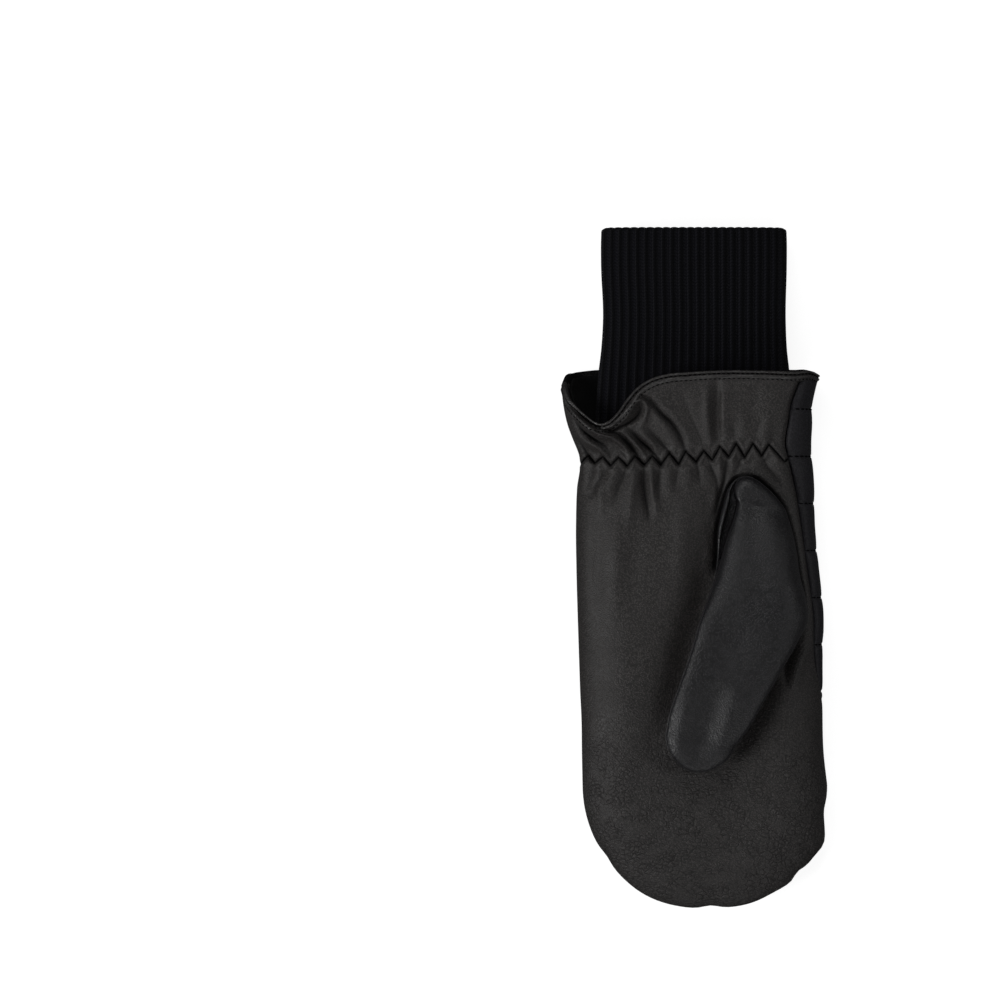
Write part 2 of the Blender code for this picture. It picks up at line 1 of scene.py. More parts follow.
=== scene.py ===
"""A leather mitten, lying with its palm up and its fingers towards -Y, photographed from straight above.

The shapes come from the same tables as the solids, divided more finely, with the gathers, seams, stitches,
quilting and knit that the solids leave out. The tables are in millimetres and the objects in metres.
"""

from bisect import bisect_right
from collections import namedtuple
from contextlib import contextmanager
import math

import bmesh
import bpy
import numpy as np
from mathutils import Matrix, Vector


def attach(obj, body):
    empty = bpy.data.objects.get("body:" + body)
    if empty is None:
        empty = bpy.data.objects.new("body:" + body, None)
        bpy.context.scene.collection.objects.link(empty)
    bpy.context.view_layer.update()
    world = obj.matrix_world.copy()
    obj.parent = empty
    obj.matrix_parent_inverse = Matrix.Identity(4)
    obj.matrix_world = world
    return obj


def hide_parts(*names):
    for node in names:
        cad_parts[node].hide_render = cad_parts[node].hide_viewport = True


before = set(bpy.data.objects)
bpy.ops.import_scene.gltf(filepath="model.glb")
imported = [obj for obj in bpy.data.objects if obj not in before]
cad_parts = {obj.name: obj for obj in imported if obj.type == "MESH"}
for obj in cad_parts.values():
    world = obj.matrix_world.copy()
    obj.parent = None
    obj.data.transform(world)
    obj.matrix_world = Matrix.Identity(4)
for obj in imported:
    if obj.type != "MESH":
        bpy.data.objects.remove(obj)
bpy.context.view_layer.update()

METRES = 0.001
TINY = 1e-6

# Thicknesses of the sheets
LEATHER = 2.0
PADDED_BACK = 3.0
LINING = 1.0
KNIT = 2.4
GAP = 0.3

# Rounding of the hand's long edges, measured in from the outline
UPPER_ROUNDING = 24.0
LOWER_ROUNDING = 12.0

# Lines across the hand
RIM = 86.0
BINDING_WIDTH = 4.4
LEATHER_TOP = RIM - BINDING_WIDTH + GAP
WRIST = 50.0
WRIST_PINCH = 0.7
WRIST_PINCH_REACH = 4.5
LAST_SECTION = -100.0

# Quilting of the back: channels across the hand, with a stitched line between each two
QUILT_FIRST = 72.8
QUILT_PITCH = 21.6
QUILT_LINES = 11
QUILT_DEPTH = 0.4
QUILT_REACH = 6.0
QUILT_CUT = 0.5  # the stitched line's own groove
QUILT_CUT_REACH = 0.5
QUILT_PUCKER = 0.25
QUILT_PUCKER_PITCH = 5.5
QUILT_PUCKER_TURN = 0.3  # millimetres for each degree round the edge
QUILT_STITCH_PITCH = 3.0
QUILT_STITCH_LENGTH = 2.5
QUILT_ROWS = (0, 0.35, 0.8, 1.4, 2.4, 3.8, 5.6, 8.0, 10.2)  # distances from each line

# A row for each section across the hand: its place, the two sides, the middle, the crown's height, the
# height of the widest point, and how far round the thumb side the seam lies (90 is the widest point)
Section = namedtuple("Section", "y left right middle crown edge seam")
SECTIONS = [Section(*row) for row in [
    (-100, -51.7, 61.1, 4.5, 25.0, 8.0, 80),
    (-85, -52.0, 59.4, 4.0, 26.5, 8.5, 80),
    (-70, -52.2, 58.9, 3.5, 27.3, 9.0, 80),
    (-57, -52.8, 59.0, 3.0, 28.0, 9.0, 102),
    (-45, -53.2, 58.9, 2.5, 28.2, 9.0, 117),
    (-20, -54.0, 59.3, 2.0, 28.5, 9.0, 125),
    (0, -54.5, 57.2, 1.5, 28.3, 9.0, 128),
    (20, -54.7, 55.4, 1.0, 27.5, 9.0, 132),
    (38, -54.1, 55.0, 0.5, 25.5, 9.5, 141),
    (48, -52.9, 54.3, 0.0, 24.6, 10.0, 146),
    (56, -53.9, 53.6, -1.0, 25.2, 10.5, 150),
    (64, -56.1, 54.0, -2.0, 27.0, 11.0, 148),
    (73, -59.1, 54.2, -4.0, 29.0, 11.5, 144),
    (80, -61.0, 55.7, -6.0, 30.0, 12.0, 140),
    (86, -61.2, 57.3, -6.0, 30.0, 12.0, 138),
]]
LEFT_SEAM = 80

# The finger tip is two quarter ovals from the last section's middle
TIP_DEPTH = 57.0
TIP_CROWN = 17.0
TIP_POWER_LEFT = 2.0
TIP_POWER_RIGHT = 2.45

# A row for each pucker of the seam round the tip: its bearing from the fingers' direction, and its size
Pucker = namedtuple("Pucker", "bearing reach height")
TIP_PUCKERS = [Pucker(*row) for row in [
    (-54, 5, -0.8),
    (-28, 16, 0.9),
    (3, 5, -1.3),
    (33, 9, -1.0),
    (47, 4, -1.6),
    (64, 6, 2.2),
    (78, 5, -1.0),
]]

# A row for each point of the mouth's edge: where its upper and lower sides lie
MouthPoint = namedtuple("MouthPoint", "x upper lower")
MOUTH = [MouthPoint(*row) for row in [
    (-61.2, 84.5, 84.5),
    (-59.8, 80.0, 88.2),
    (-56.5, 75.0, 89.8),
    (-52.0, 70.8, 90.6),
    (-47.6, 67.4, 91.1),
    (-43.7, 66.1, 91.4),
    (-40.0, 67.5, 91.4),
    (-36.3, 71.1, 91.4),
    (-31.7, 77.6, 91.4),
    (-27.6, 82.2, 91.4),
    (-21.2, 86.4, 91.4),
    (-13.3, 88.7, 91.4),
    (-3.7, 89.6, 91.4),
    (11.5, 90.4, 91.4),
    (33.0, 90.2, 91.4),
    (46.0, 89.9, 91.4),
    (53.5, 90.3, 91.0),
    (57.3, 88.7, 88.7),
]]

# A row for each fold of the leather: its two ends, and its size (up is positive)
Fold = namedtuple("Fold", "x0 y0 x1 y1 reach height")
THUMB_BED = Fold(27, 36, 3, -80, 12.0, -1.6)
PALM_DIPS = [  # the hollows on both sides of the thumb
    Fold(18, 36, -16, -90, 10.0, -3.6),
    Fold(46, -22, 10, -96, 7.0, -3.0),
]

# A row for each wrinkle of the leather: its height (a valley's is negative), how far it reaches to the
# left and to the right of its path, and the path that it follows over the palm
Wrinkle = namedtuple("Wrinkle", "height left right path")
GAUNTLET_WRINKLES = [Wrinkle(*row) for row in [
    # valleys under the mouth's dip, and the narrow hollow that they end in
    (-4.0, 1.0, 1.1, [(-58.5, 77), (-54.8, 71.4), (-50.4, 67.4), (-46, 64), (-41, 62.5), (-36.4, 63.8),
        (-33, 65.2)]),
    (-4.0, 1.7, 0.9, [(-39, 62.4), (-35, 64.6), (-30.9, 66.4), (-27.2, 69), (-25.3, 72.6), (-25.1, 77)]),
    (-3.8, 1.0, 1.0, [(-42.5, 62.4), (-38, 61.8), (-34, 59.8), (-29.7, 55.3), (-26.6, 51), (-24, 46.4)]),
    (-3.6, 1.1, 1.0, [(-57, 69.5), (-53.8, 64.9), (-50.7, 61.9), (-46.9, 59.2), (-42.4, 56.8),
        (-39.6, 54.6)]),
    (-3.0, 1.0, 1.1, [(-54.6, 60), (-52.8, 56.6), (-50.2, 52.6), (-46.8, 48)]),
    (-3.6, 1.1, 1.0, [(-32.6, 65.4), (-28.3, 61), (-25.3, 57.9), (-22, 55.2), (-18.4, 51.4), (-15, 46)]),
    (-1.9, 1.5, 1.0, [(-23, 65), (-19, 60.5), (-14.5, 55.8), (-11.5, 52), (-7.8, 46.6)]),
    # the long diagonal fold
    (-3.4, 1.8, 0.8, [(-30, 80.5), (-24.5, 78.2), (-20, 74.6), (-16, 70.2), (-11.5, 66), (-8, 61),
        (-5.6, 55.5), (-4.6, 52)]),
    # ridges
    (3.0, 1.2, 1.1, [(-58, 73.6), (-53.4, 67.9), (-48.6, 63.8), (-43.7, 61), (-39.2, 59.9),
        (-35.4, 57.6), (-31.8, 53.8), (-30.2, 49)]),
    (2.6, 1.3, 1.2, [(-56, 64), (-52.2, 59.4), (-48, 56.6), (-43.9, 54.2), (-41.3, 51.8), (-39.9, 48)]),
    (1.9, 1.1, 1.1, [(-35, 62.8), (-30.4, 59.2), (-26.2, 54.8), (-23.3, 50.7), (-21.4, 47)]),
    (2.3, 1.2, 1.3, [(-33.4, 68), (-30.4, 72.4), (-28.2, 75.4), (-25.8, 76.8), (-23.6, 75.6),
        (-22.8, 72.2), (-23.8, 68), (-25.8, 63.4)]),
    (1.5, 1.6, 2.0, [(-27, 65), (-23.6, 60.6), (-19.6, 56), (-16.6, 49.5)]),
    (1.5, 3.0, 2.4, [(-22.6, 76.5), (-17.6, 69), (-13.4, 63), (-10.2, 57), (-8, 49)]),
    (1.0, 2.2, 3.4, [(-20, 79), (-13, 72.5), (-7.6, 66), (-3.6, 59.5), (-0.6, 51)]),
    # the right half's upright folds
    (-0.9, 2.0, 2.0, [(-8, 84), (-4.6, 74), (-0.6, 65), (2.4, 58), (3.7, 53.5)]),
    (-2.6, 1.1, 3.2, [(9.8, 88), (9.8, 74), (10.0, 63), (11.0, 55)]),
    (1.2, 1.8, 1.8, [(5.2, 86), (4.6, 72), (6.0, 60), (7.4, 51)]),
    (0.8, 2.4, 2.0, [(12.6, 85), (12.6, 70), (13.6, 60), (15, 52)]),
    (-0.6, 1.9, 1.9, [(18.4, 55), (17.4, 61), (16.8, 70)]),
    (-0.6, 1.9, 1.9, [(26, 55), (27, 61), (30, 69)]),
    (-0.8, 1.8, 1.8, [(33.3, 55), (35.2, 60), (39, 64)]),
    (0.7, 2.6, 2.6, [(22.3, 52), (22, 60), (22, 74)]),
    (0.8, 2.4, 2.4, [(30, 53), (31, 60), (34, 72)]),
    (-0.6, 4.0, 4.0, [(27, 84), (26, 75), (24.6, 66)]),
]]
HAND_WRINKLES = [Wrinkle(*row) for row in [
    # the gathers' valleys down the hand
    (-0.8, 1.7, 1.7, [(-53, 49), (-53.6, 43), (-54, 38)]),
    (-1.4, 1.7, 1.7, [(-46.3, 50), (-47.8, 43.5), (-49.4, 36)]),
    (-1.8, 1.7, 2.2, [(-39.0, 49), (-42.0, 43.5), (-46.6, 37), (-48, 32)]),
    (-2.1, 1.8, 2.1, [(-31.4, 49), (-33, 42.5), (-36.2, 35.5), (-39, 28)]),
    (-3.2, 1.5, 1.8, [(-23.5, 50), (-24.0, 43), (-23.6, 35), (-22.2, 26), (-21.4, 20)]),
    (-1.8, 1.4, 1.6, [(-15.9, 49), (-17.2, 43), (-17.6, 36), (-16.6, 31)]),
    (-1.2, 1.7, 2.1, [(-7.8, 49), (-8.8, 43), (-10.4, 36)]),
    (-1.7, 1.3, 1.8, [(0.0, 51), (1.0, 44), (1.8, 38)]),
    (-1.8, 1.6, 2.1, [(3.6, 54), (7.0, 46), (9.4, 40), (10.2, 33)]),
    (-2.6, 1.2, 1.5, [(14.8, 53), (13.6, 45.5), (12.6, 39), (10.4, 31), (8.4, 22)]),
    (-1.0, 1.3, 1.3, [(22.0, 52), (19.4, 46.5), (17, 42)]),
    (-1.6, 1.6, 2.3, [(30, 53), (32.4, 47), (36, 42), (40, 36)]),
    (-0.9, 1.6, 1.8, [(40.4, 51), (43, 45), (45, 38)]),
    # and the ridges between them
    (1.0, 2.0, 2.0, [(-49.6, 52), (-51, 44), (-52, 34)]),
    (1.2, 2.1, 2.1, [(-42.5, 52), (-44.6, 44), (-44, 34), (-43.6, 22)]),
    (1.2, 2.5, 2.5, [(-35.4, 52), (-37.6, 43), (-41, 34)]),
    (1.4, 2.3, 2.3, [(-28, 52), (-28.6, 42), (-30, 30), (-31, 18)]),
    (1.8, 1.7, 1.6, [(-20.2, 52), (-20.6, 42), (-19.8, 34), (-17.6, 24)]),
    (1.2, 2.9, 2.9, [(-12, 53), (-12.6, 44), (-11.6, 32)]),
    (0.9, 2.3, 2.3, [(-4.6, 53), (-4.0, 44), (-4.6, 34)]),
    (1.0, 1.4, 1.4, [(11, 56), (10.8, 48), (11.8, 42)]),
    (0.8, 2.1, 2.3, [(18.6, 57), (17.6, 50), (16.2, 45)]),
    (0.9, 2.6, 2.6, [(26, 57), (27, 50), (29, 45)]),
    (1.2, 2.3, 2.3, [(33.3, 56), (37, 49), (41, 40), (44, 30)]),
    # wide soft waves of the palm
    (0.9, 3.4, 3.4, [(-49.6, 34), (-50.6, 14), (-50, -24)]),
    (-0.8, 3.0, 3.0, [(-44, 30), (-45, 4), (-44.6, -30)]),
    (-0.7, 5.0, 5.0, [(-28, 22), (-29, 2), (-32, -26)]),
    (0.9, 5.0, 4.0, [(-37, 24), (-37.4, 2), (-38, -20)]),
    (1.0, 4.0, 4.0, [(-8, 34), (-6.4, 20), (-8, -10)]),
    (-1.0, 2.6, 3.4, [(4.6, 38), (6.4, 24), (6, 8)]),
    # under the slot beside the thumb
    (-6.0, 1.8, 2.6, [(20.6, 42), (18.2, 31), (14.8, 19), (12.4, 8)]),
    # creases beside the thumb's tip and where the fingers bend
    (-2.4, 1.6, 1.8, [(52, -24), (46, -34), (41, -44), (41.6, -55)]),
    (1.4, 2.2, 2.2, [(54, -34), (47, -44), (44.6, -56)]),
    (-0.5, 0.9, 0.9, [(-26, -131), (-14, -134), (2, -133.4), (10, -135)]),
    (-0.45, 0.9, 0.9, [(0, -146), (10, -147.6), (24, -146.4), (32, -148)]),
    (-0.5, 1.4, 1.4, [(60, -112), (51, -116), (42, -114)]),
    (-0.6, 1.6, 1.6, [(60, -124), (52, -124), (43, -120)]),
    (-0.8, 1.8, 1.8, [(48, -143), (41, -134), (35, -128)]),
    (-0.5, 1.2, 1.2, [(-46, -118), (-38, -124), (-30, -124)]),
]]
WRINKLES = GAUNTLET_WRINKLES + HAND_WRINKLES
WRINKLE_FADE = 0.8  # how bluntly a wrinkle ends
ROUND_POWER = 2  # the power of a wrinkle's bell
PATH_STEPS = 6  # straight runs between two points of a path
BELL_MARGIN = 3  # how many reaches from its middle a bell is followed
SIDEWAYS = 0.35  # how much of a wrinkle's height moves the hand's steep edge sideways
CROWN_LIFT_POWER = 0.4
WRINKLED_AT_SEAM = 0.3  # how much of a wrinkle shows at the seam round the hand
WRINKLED_PAST_SEAM = 30  # degrees past the seam to where all of it shows

# Creases are the narrow valleys, with a sharp bottom and a dark line of painted shade along it
CREASE_POWER = 1.2
CREASE_WIDEST = 4.3
CREASE_DEEP = 3.0  # from this depth on the line is fully dark
CREASE_SHADE_REACH = 0.6

# The wrist's stitches lie in a groove, with the gathers' swellings beside it
STITCH_BAND = (40.0, 62.0)
STITCH_GROOVE = 1.2
STITCH_GROOVE_REACH = 0.55
STITCH_SWELL = 0.8
STITCH_SWELL_FROM = 1.6
STITCH_SWELL_REACH = 1.0

# The wrist's zigzag stitches: a row for each lower corner, with the upper corner to its right
ZigzagStitch = namedtuple("ZigzagStitch", "x y top_x top_y")
ZIGZAG_STITCHES = [ZigzagStitch(*row) for row in [
    (-53.0, 47.6, -49.7, 51.6),
    (-46.4, 48.0, -42.5, 51.2),
    (-39.1, 46.8, -35.4, 50.8),
    (-31.5, 46.6, -28.0, 51.2),
    (-23.6, 47.2, -20.0, 51.4),
    (-16.2, 47.0, -12.2, 52.6),
    (-7.9, 47.4, -4.8, 53.4),
    (0.0, 48.6, 3.6, 53.8),
    (7.5, 49.4, 10.9, 55.6),
    (15.0, 51.0, 18.4, 57.0),
    (22.3, 50.6, 26.0, 57.0),
    (30.0, 51.4, 33.3, 56.6),
    (40.6, 48.6, 42.0, 50.0),
]]
ZIGZAG = np.array([corner for row in ZIGZAG_STITCHES for corner in ((row.x, row.y), (row.top_x, row.top_y))])

# The thumb lies along a line from the top of its seam to its tip
THUMB_TOP = (29.5, 42.0)
THUMB_TIP = (-2.5, -92.6)
THUMB_CLEAR = 0.5

# A row for each section across the thumb: its place along that line, its two sides and its middle, the
# crown's height over the palm, the height of its widest point over the palm, and the depth of the
# gusset's fold beside the seam
ThumbSection = namedtuple("ThumbSection", "along left right middle crown edge fold")
THUMB_SECTIONS = [ThumbSection(*row) for row in [
    (14, -13.8, 15.6, -4.0, 8.5, 1.2, 6.0),
    (22, -14.0, 20.3, 0.0, 12.0, 1.4, 6.0),
    (30, -13.4, 24.0, 3.5, 14.0, 1.3, 4.4),
    (40, -11.2, 27.9, 7.0, 15.5, 1.6, 1.7),
    (50, -10.2, 33.0, 9.5, 16.5, 4.0, 0.2),
    (58, -11.0, 35.6, 10.5, 16.5, 6.6, 0.0),
    (70, -12.5, 33.1, 10.0, 16.5, 9.8, 0.0),
    (85, -13.3, 28.4, 7.5, 16.5, 11.2, 0.0),
    (100, -14.8, 24.2, 4.5, 16.0, 11.2, 0.0),
    (115, -16.2, 19.8, 1.5, 15.0, 10.4, 0.0),
    (123, -15.8, 16.2, 0.0, 14.0, 9.6, 0.0),
]]
ThumbEnd = namedtuple("ThumbEnd", "depth left_power right_power")
THUMB_ARCH = ThumbEnd(12.8, 2.3, 1.3)
THUMB_END = ThumbEnd(15.4, 1.75, 1.75)
THUMB_UNDER_ROUNDING = 6.0
THUMB_POWER = 3.2  # how square its upper side is: 2 is an oval
THUMB_SEWN_LEFT = 46.0  # along its line, to where its two sides are sewn down
THUMB_SEWN_RIGHT = 58.0
THUMB_UNDER_SHARES = (1.0, 0.66, 0.33)  # places across its flat underside
THUMB_UNDER_TURNS = (0, 15, 30, 45, 60, 75)
THUMB_FOLDS_RISE = (3.0, 9.0)  # the heights between which its folds begin to show
THUMB_FOLDS = [
    Fold(9, -52, -2, -90, 4.6, -1.7),
    Fold(18, -54, 10, -88, 4.0, 1.1),
    Fold(-4, -58, -11, -88, 3.6, 0.9),
    Fold(24, 30, 30, -20, 7.0, -0.4),
    Fold(38, 10, 44, -20, 5.0, 0.4),
]

# The gusset beside the thumb's seam: a row for each point from the seam, over the strip, into the slot
# and up to the folded edge, as shares of the width and of the height between floor and folded edge
GussetPoint = namedtuple("GussetPoint", "across height")
GUSSET_WIDTH = 6.3
GUSSET_LIP = 5.4
GUSSET_FLOOR = -4.0
GUSSET = [GussetPoint(*row) for row in [
    (0.0, 0.36),
    (0.05, 0.60),
    (0.14, 0.74),
    (0.28, 0.76),
    (0.38, 0.68),
    (0.43, 0.40),
    (0.46, 0.02),
    (0.66, 0.0),
    (0.88, 0.04),
    (0.92, 0.60),
    (0.95, 0.88),
]]
GUSSET_BEARINGS = (-20, -90)  # where the gusset begins round the arch, and where it is full
# The slot's faces are painted shade: they take the near-black painted shade leather
SLOT_COLUMNS = range(13, 19)  # the slot's faces across the thumb's profile
SLOT_GUSSET = 0.2  # the least share of the gusset with a dark slot
PLAIN_EDGE_WIDTH = 0.3
PLAIN_EDGE_LIP = 0.05
PLAIN_EDGE_RISE = 0.8

# The hole that joins the thumb to the hand
HOLE_CENTRE = (29.5, 3.0)
HOLE_HALF_LENGTH = 22.0
HOLE_HALF_WIDTH = 11.0

# The thumb's seam sinks into the palm, inside a window of the palm's places
SEAM_FROM_X = 0.0
SEAM_FROM_TO_Y = (-34.0, 54.0)
SEAM_FADE = 0.125  # the last share of its line
SEAM_SINK = 2.4
SEAM_SINK_REACH = 1.0
SEAM_SWELL = 0.5
SEAM_SWELL_FROM = 4.0
SEAM_SWELL_REACH = 2.4

# A sheet's edge turns in at the seam round the hand, and the palm's edge goes on behind it: a row for
# each place of that edge, in degrees from the seam and in millimetres in from the surface
SEAM_ROLL = 1.3
SEAM_ROLL_REACH = 1.6
SEAM_ROUNDING_SHARE = 0.8
SEAM_GAP = 0.8
SeamPlace = namedtuple("SeamPlace", "off inset")
SEAM_ALLOWANCE = [SeamPlace(14, 1.4), SeamPlace(5, 4.2), SeamPlace(-3, 4.9), SeamPlace(-14, 4.7)]
SEAM_ALLOWANCE_WALL = 0.6
SEAM_ALLOWANCE_TOP = 50.0

# The knit cuff: a row for each section, from its folded edge to the wrist
CuffSection = namedtuple("CuffSection", "y left right bottom top")
CUFF_SECTIONS = [CuffSection(*row) for row in [
    (156.6, -41.6, 40.8, 1.8, 17.0),
    (155.4, -42.9, 42.1, 0.7, 18.1),
    (153.6, -43.1, 42.3, 0.5, 18.3),
    (151.0, -43.2, 42.4, 0.6, 18.4),
    (140.0, -43.2, 42.4, 0.6, 18.6),
    (114.0, -42.3, 41.9, 0.8, 19.0),
    (100.0, -43.2, 42.4, 2.8, 20.0),
    (90.0, -44.4, 43.4, 5.1, 20.6),
    (72.0, -45.6, 44.2, 5.1, 20.4),
    (54.0, -46.4, 45.0, 5.1, 19.4),
]]
CUFF_RIBS = 46
CUFF_RIB_DEPTH = 0.9
CUFF_POWER = 2.7  # how square its oval is: 2 is an ellipse
RIB_POWER = 0.8
CUFF_FOLDED_EDGE = 156.6
CUFF_EDGE_ROUNDING = 1.3
CUFF_EDGE_RIBS = 0.55  # the ribs' share of depth there
KNIT_ROW = 1.5  # height of one stitch
KNIT_SCALLOP = 0.35  # how far each rib's end stands out at the folded edge

# The binding: a row for each place round it, from the leather it covers to the mouth and back inside
BindingPlace = namedtuple("BindingPlace", "from_rim inset")
BINDING_EDGE = [BindingPlace(*row) for row in [
    (4.7, 0.9),
    (4.4, 0.2),
    (4.1, -0.1),
    (3.8, 0.25),
    (3.5, -0.25),
    (2.9, -0.65),
    (2.3, -0.6),
    (1.9, -0.1),
    (1.65, 0.55),
    (1.35, 0.5),
    (1.15, -0.1),
    (0.8, -0.4),
    (0.35, -0.2),
    (0.1, 0.3),
    (0.0, 0.8),
    (0.15, 1.4),
    (0.6, 1.9),
    (1.6, 2.3),
    (3.4, 3.5),
    (BINDING_WIDTH + 1.0, 3.4),
]]
BINDING_STITCHES = [BindingPlace(1.5, 0.25), BindingPlace(3.95, 0.1)]
# Under this height the binding's faces that look up take the near-black painted shade leather
BINDING_BACK_BELOW = 9.0  # the height under which it is the back's own leather
BINDING_STITCH_PITCH = 2.2
BINDING_STITCH_LENGTH = 1.5
THREAD_RADIUS = 0.3
WRIST_THREAD_RADIUS = 0.42
THREAD_END = 0.15  # how thick a thread is at its ends
THREAD_SIDES = 6
STITCH_POINTS = 5
WRIST_STITCH_POINTS = 7
STITCH_CROWN = 0.2
STITCH_SUNK = 0.05

# The lining: how far it lies in from the leather, and where it begins and ends
LINING_AT_RIM = 6.6
LINING_AT_WRIST = 3.7
LINING_TOP = RIM - 2.4
LINING_END = 54.0
LINING_RIM_BAND = 6.0  # where it draws near the binding
LINING_TURN = (60, 130)  # angles round the hand's edge, from its place under to that above

# How finely the surfaces are divided: the greatest distances between rows and between columns
PALM_BANDS = [(60.0, 0.65), (42.0, 0.45), (14.0, 0.65), (LAST_SECTION, 1.8)]  # where each ends, and its rows
TIP_STEPS = 64
PALM_COLUMNS = 108
ROUGH_ROUND_STEPS = 24
ROUGH_FLAT_STEPS = 12
SEAM_ALLOWANCE_ROW = 4.0
BACK_ROUND_STEPS = 26
BACK_UNDER_STEPS = 16
MOUTH_ROUND_STEPS = 30
MOUTH_FLAT_STEPS = 34
MOUTH_UNDER_STEPS = 14
LINING_ROW = 1.2
THUMB_ROW = 1.3
THUMB_CROWN_STEPS = 24
SEAM_ROW = 2.0
ARCH_STEPS = 26
THUMB_END_STEPS = 30
CUFF_COLUMNS_PER_RIB = 8
CUFF_ROW = 1.0
CUFF_INNER_ROW = 3.0
LOOP_POINTS = 2881

# Rays that look for a surface start above all pieces (in millimetres) or outside them (in metres)
ABOVE_ALL = 60.0
SEARCH_FROM = 0.2

# The leather's grain: scales of its patterns, and depths in metres
WANDER_SCALE = 55
WANDER_DEPTH = 0.0009
WAVE_STRETCH = (0.8, 1.2, 1.0)
WAVE_SCALE = 420
WAVE_DEPTH = 0.00005
PEBBLE_STRETCH = (0.9, 1.1, 1.0)
PEBBLE_SCALE = 1350
PEBBLE_DEPTH = 0.00015
FINE_SCALE = 1900
FINE_DEPTH = 0.00006
PATCH_SCALE = 130
CRACK_TURN = 0.6
CRACK_SCALE = 440
CRACK_DEPTH = 0.00022
CRACK_PUSH_SCALE = 260
CRACK_PUSH = 0.0011
CRACK_SHOULDER = 0.22
CRACK_LINE = 0.10
CRACK_TONE = 0.12
CRACK_DULL = 0.3
CRACKED_FROM_TO = (-0.03, -0.11)  # along the hand, in metres
# Painted shade: the near-black colour and the added roughness in crease valleys, the wrist's stitch groove
# and along the thumb's seam
CREASE_SHADE_COLOUR = (0.0006, 0.0006, 0.0006)
CREASE_DULL = 0.5

# A row for each leather: its dark and light colours, its grain, its cracks, its roughness and its shine
LEATHERS = [
    ("palm_leather", (0.0044, 0.0039, 0.0037), (0.0292, 0.0256, 0.0246), 1.0, 1.0, 0.51, 0.34),
    ("thumb_leather", (0.0024, 0.0023, 0.0028), (0.0096, 0.0091, 0.0108), 0.8, 0.3, 0.42, 0.36),
    ("back_leather", (0.0050, 0.0048, 0.0060), (0.0150, 0.0144, 0.0176), 0.6, 0.2, 0.5, 0.2),
    ("binding_leather", (0.006, 0.0054, 0.0053), (0.0210, 0.0187, 0.0179), 0.8, 0.3, 0.36, 0.45),
    # painted shade: a near-black leather for the thumb's slot and the binding's inside
    ("painted_shade_leather", (0.001, 0.001, 0.001), (0.003, 0.003, 0.003), 1.0, 1.0, 0.46, 0.05),
]

# The knit, the lining and the thread
STITCH_SLANT = 1.3
KNIT_STITCH_DEPTH = 0.00012
KNIT_COLOURS = ((0.0008, 0.0008, 0.0012), (0.0062, 0.0062, 0.0084))
FUZZ_SCALE = 3200
FUZZ_DEPTH = 0.0002
WEAVE_SCALE = 1400
WEAVE_DEPTH = 0.00012
CLOTH_TONE_SCALE = 240
CLOTH_COLOURS = ((0.0020, 0.0021, 0.0021), (0.0060, 0.0062, 0.0062))
TWIST_SCALE = 2400
TWIST_DEPTH = 0.00008
THREAD_COLOURS = ((0.0008, 0.0008, 0.0009), (0.0026, 0.0026, 0.0029))

# The stage, the camera and the lights, in metres
FLOOR_SIZE = 8.0
FLOOR_BELOW = 0.0002
FLOOR_TONES = (0.28, 0.32)
FLOOR_GLOW = 0.85
BACKDROP_RADIUS = 3.9
BACKDROP_TONES = (0.0, 0.01)
WORLD_LIGHT = 0.08
CAMERA_OVER = (-89.7, 31.2)  # the middle of the picture, in the mitten's millimetres
CAMERA_DISTANCE = 2.0
CAMERA_REACH = 50
WIDEST_HEIGHT = 12.0  # in millimetres, as the next
PICTURE_WIDTH = 460.0
SENSOR = 36.0  # in millimetres
Light = namedtuple("Light", "name x y z width depth power")
LIGHTS = [
    Light("key_box", -1.5, -0.45, 0.95, 0.9, 0.9, 25),
    Light("top_box", -0.3, 1.45, 1.3, 1.1, 0.7, 14),
    Light("right_box", 1.4, 0.2, 1.1, 0.8, 1.4, 6),
    Light("low_box", 0.4, -1.7, 1.1, 1.3, 0.6, 12),
]


# Curves and tables

def table_reader(rows):
    """A function that reads a table's column at any place along its first column, on a smooth curve."""
    stations = [float(row[0]) for row in rows]
    curves = {}
    for name in rows[0]._fields[1:]:
        values = [float(getattr(row, name)) for row in rows]
        curves[name] = (values, np.gradient(values, stations).tolist())

    def read(name, at):
        values, slopes = curves[name]
        place = min(max(at, stations[0]), stations[-1])
        row = min(max(bisect_right(stations, place) - 1, 0), len(stations) - 2)
        step = stations[row + 1] - stations[row]
        f = (place - stations[row]) / step
        start = (1 + 2 * f) * (1 - f) ** 2 * values[row] + f * (1 - f) ** 2 * step * slopes[row]
        return start + f * f * (3 - 2 * f) * values[row + 1] + f * f * (f - 1) * step * slopes[row + 1]

    return read


section = table_reader(SECTIONS)
thumb_section = table_reader(THUMB_SECTIONS)
mouth = table_reader(MOUTH)
cuff_section = table_reader(CUFF_SECTIONS[::-1])


def blend(a, b, f):
    return a + (b - a) * f


def smooth_step(low, high, at):
    f = min(max((at - low) / (high - low), 0.0), 1.0)
    return f * f * (3 - 2 * f)


def bell(off, reach):
    return np.exp(-(off / reach) ** 2)


def oval_radius(bearing, half_width, depth, power):
    """Distance from an oval's middle to its edge, for a bearing in degrees from its depth direction."""
    turn = math.radians(bearing)
    across = abs(math.sin(turn)) / half_width
    along = abs(math.cos(turn)) / depth
    return (across ** power + along ** power) ** (-1 / power)


def fold_height(fold, x, y):
    """A fold's height at a point: a bell across it that fades to nothing at its two ends."""
    run_x, run_y = fold.x1 - fold.x0, fold.y1 - fold.y0
    length = math.hypot(run_x, run_y)
    ahead = ((x - fold.x0) * run_x + (y - fold.y0) * run_y) / length
    aside = ((x - fold.x0) * run_y - (y - fold.y0) * run_x) / length
    f = min(max(ahead / length, 0.0), 1.0)
    return fold.height * math.sqrt(4 * f * (1 - f)) * bell(aside, fold.reach)


def steps_between(start, end, longest):
    """Even places from start to end, no more than the longest step apart."""
    return np.linspace(start, end, max(math.ceil(abs(end - start) / longest), 1) + 1).tolist()


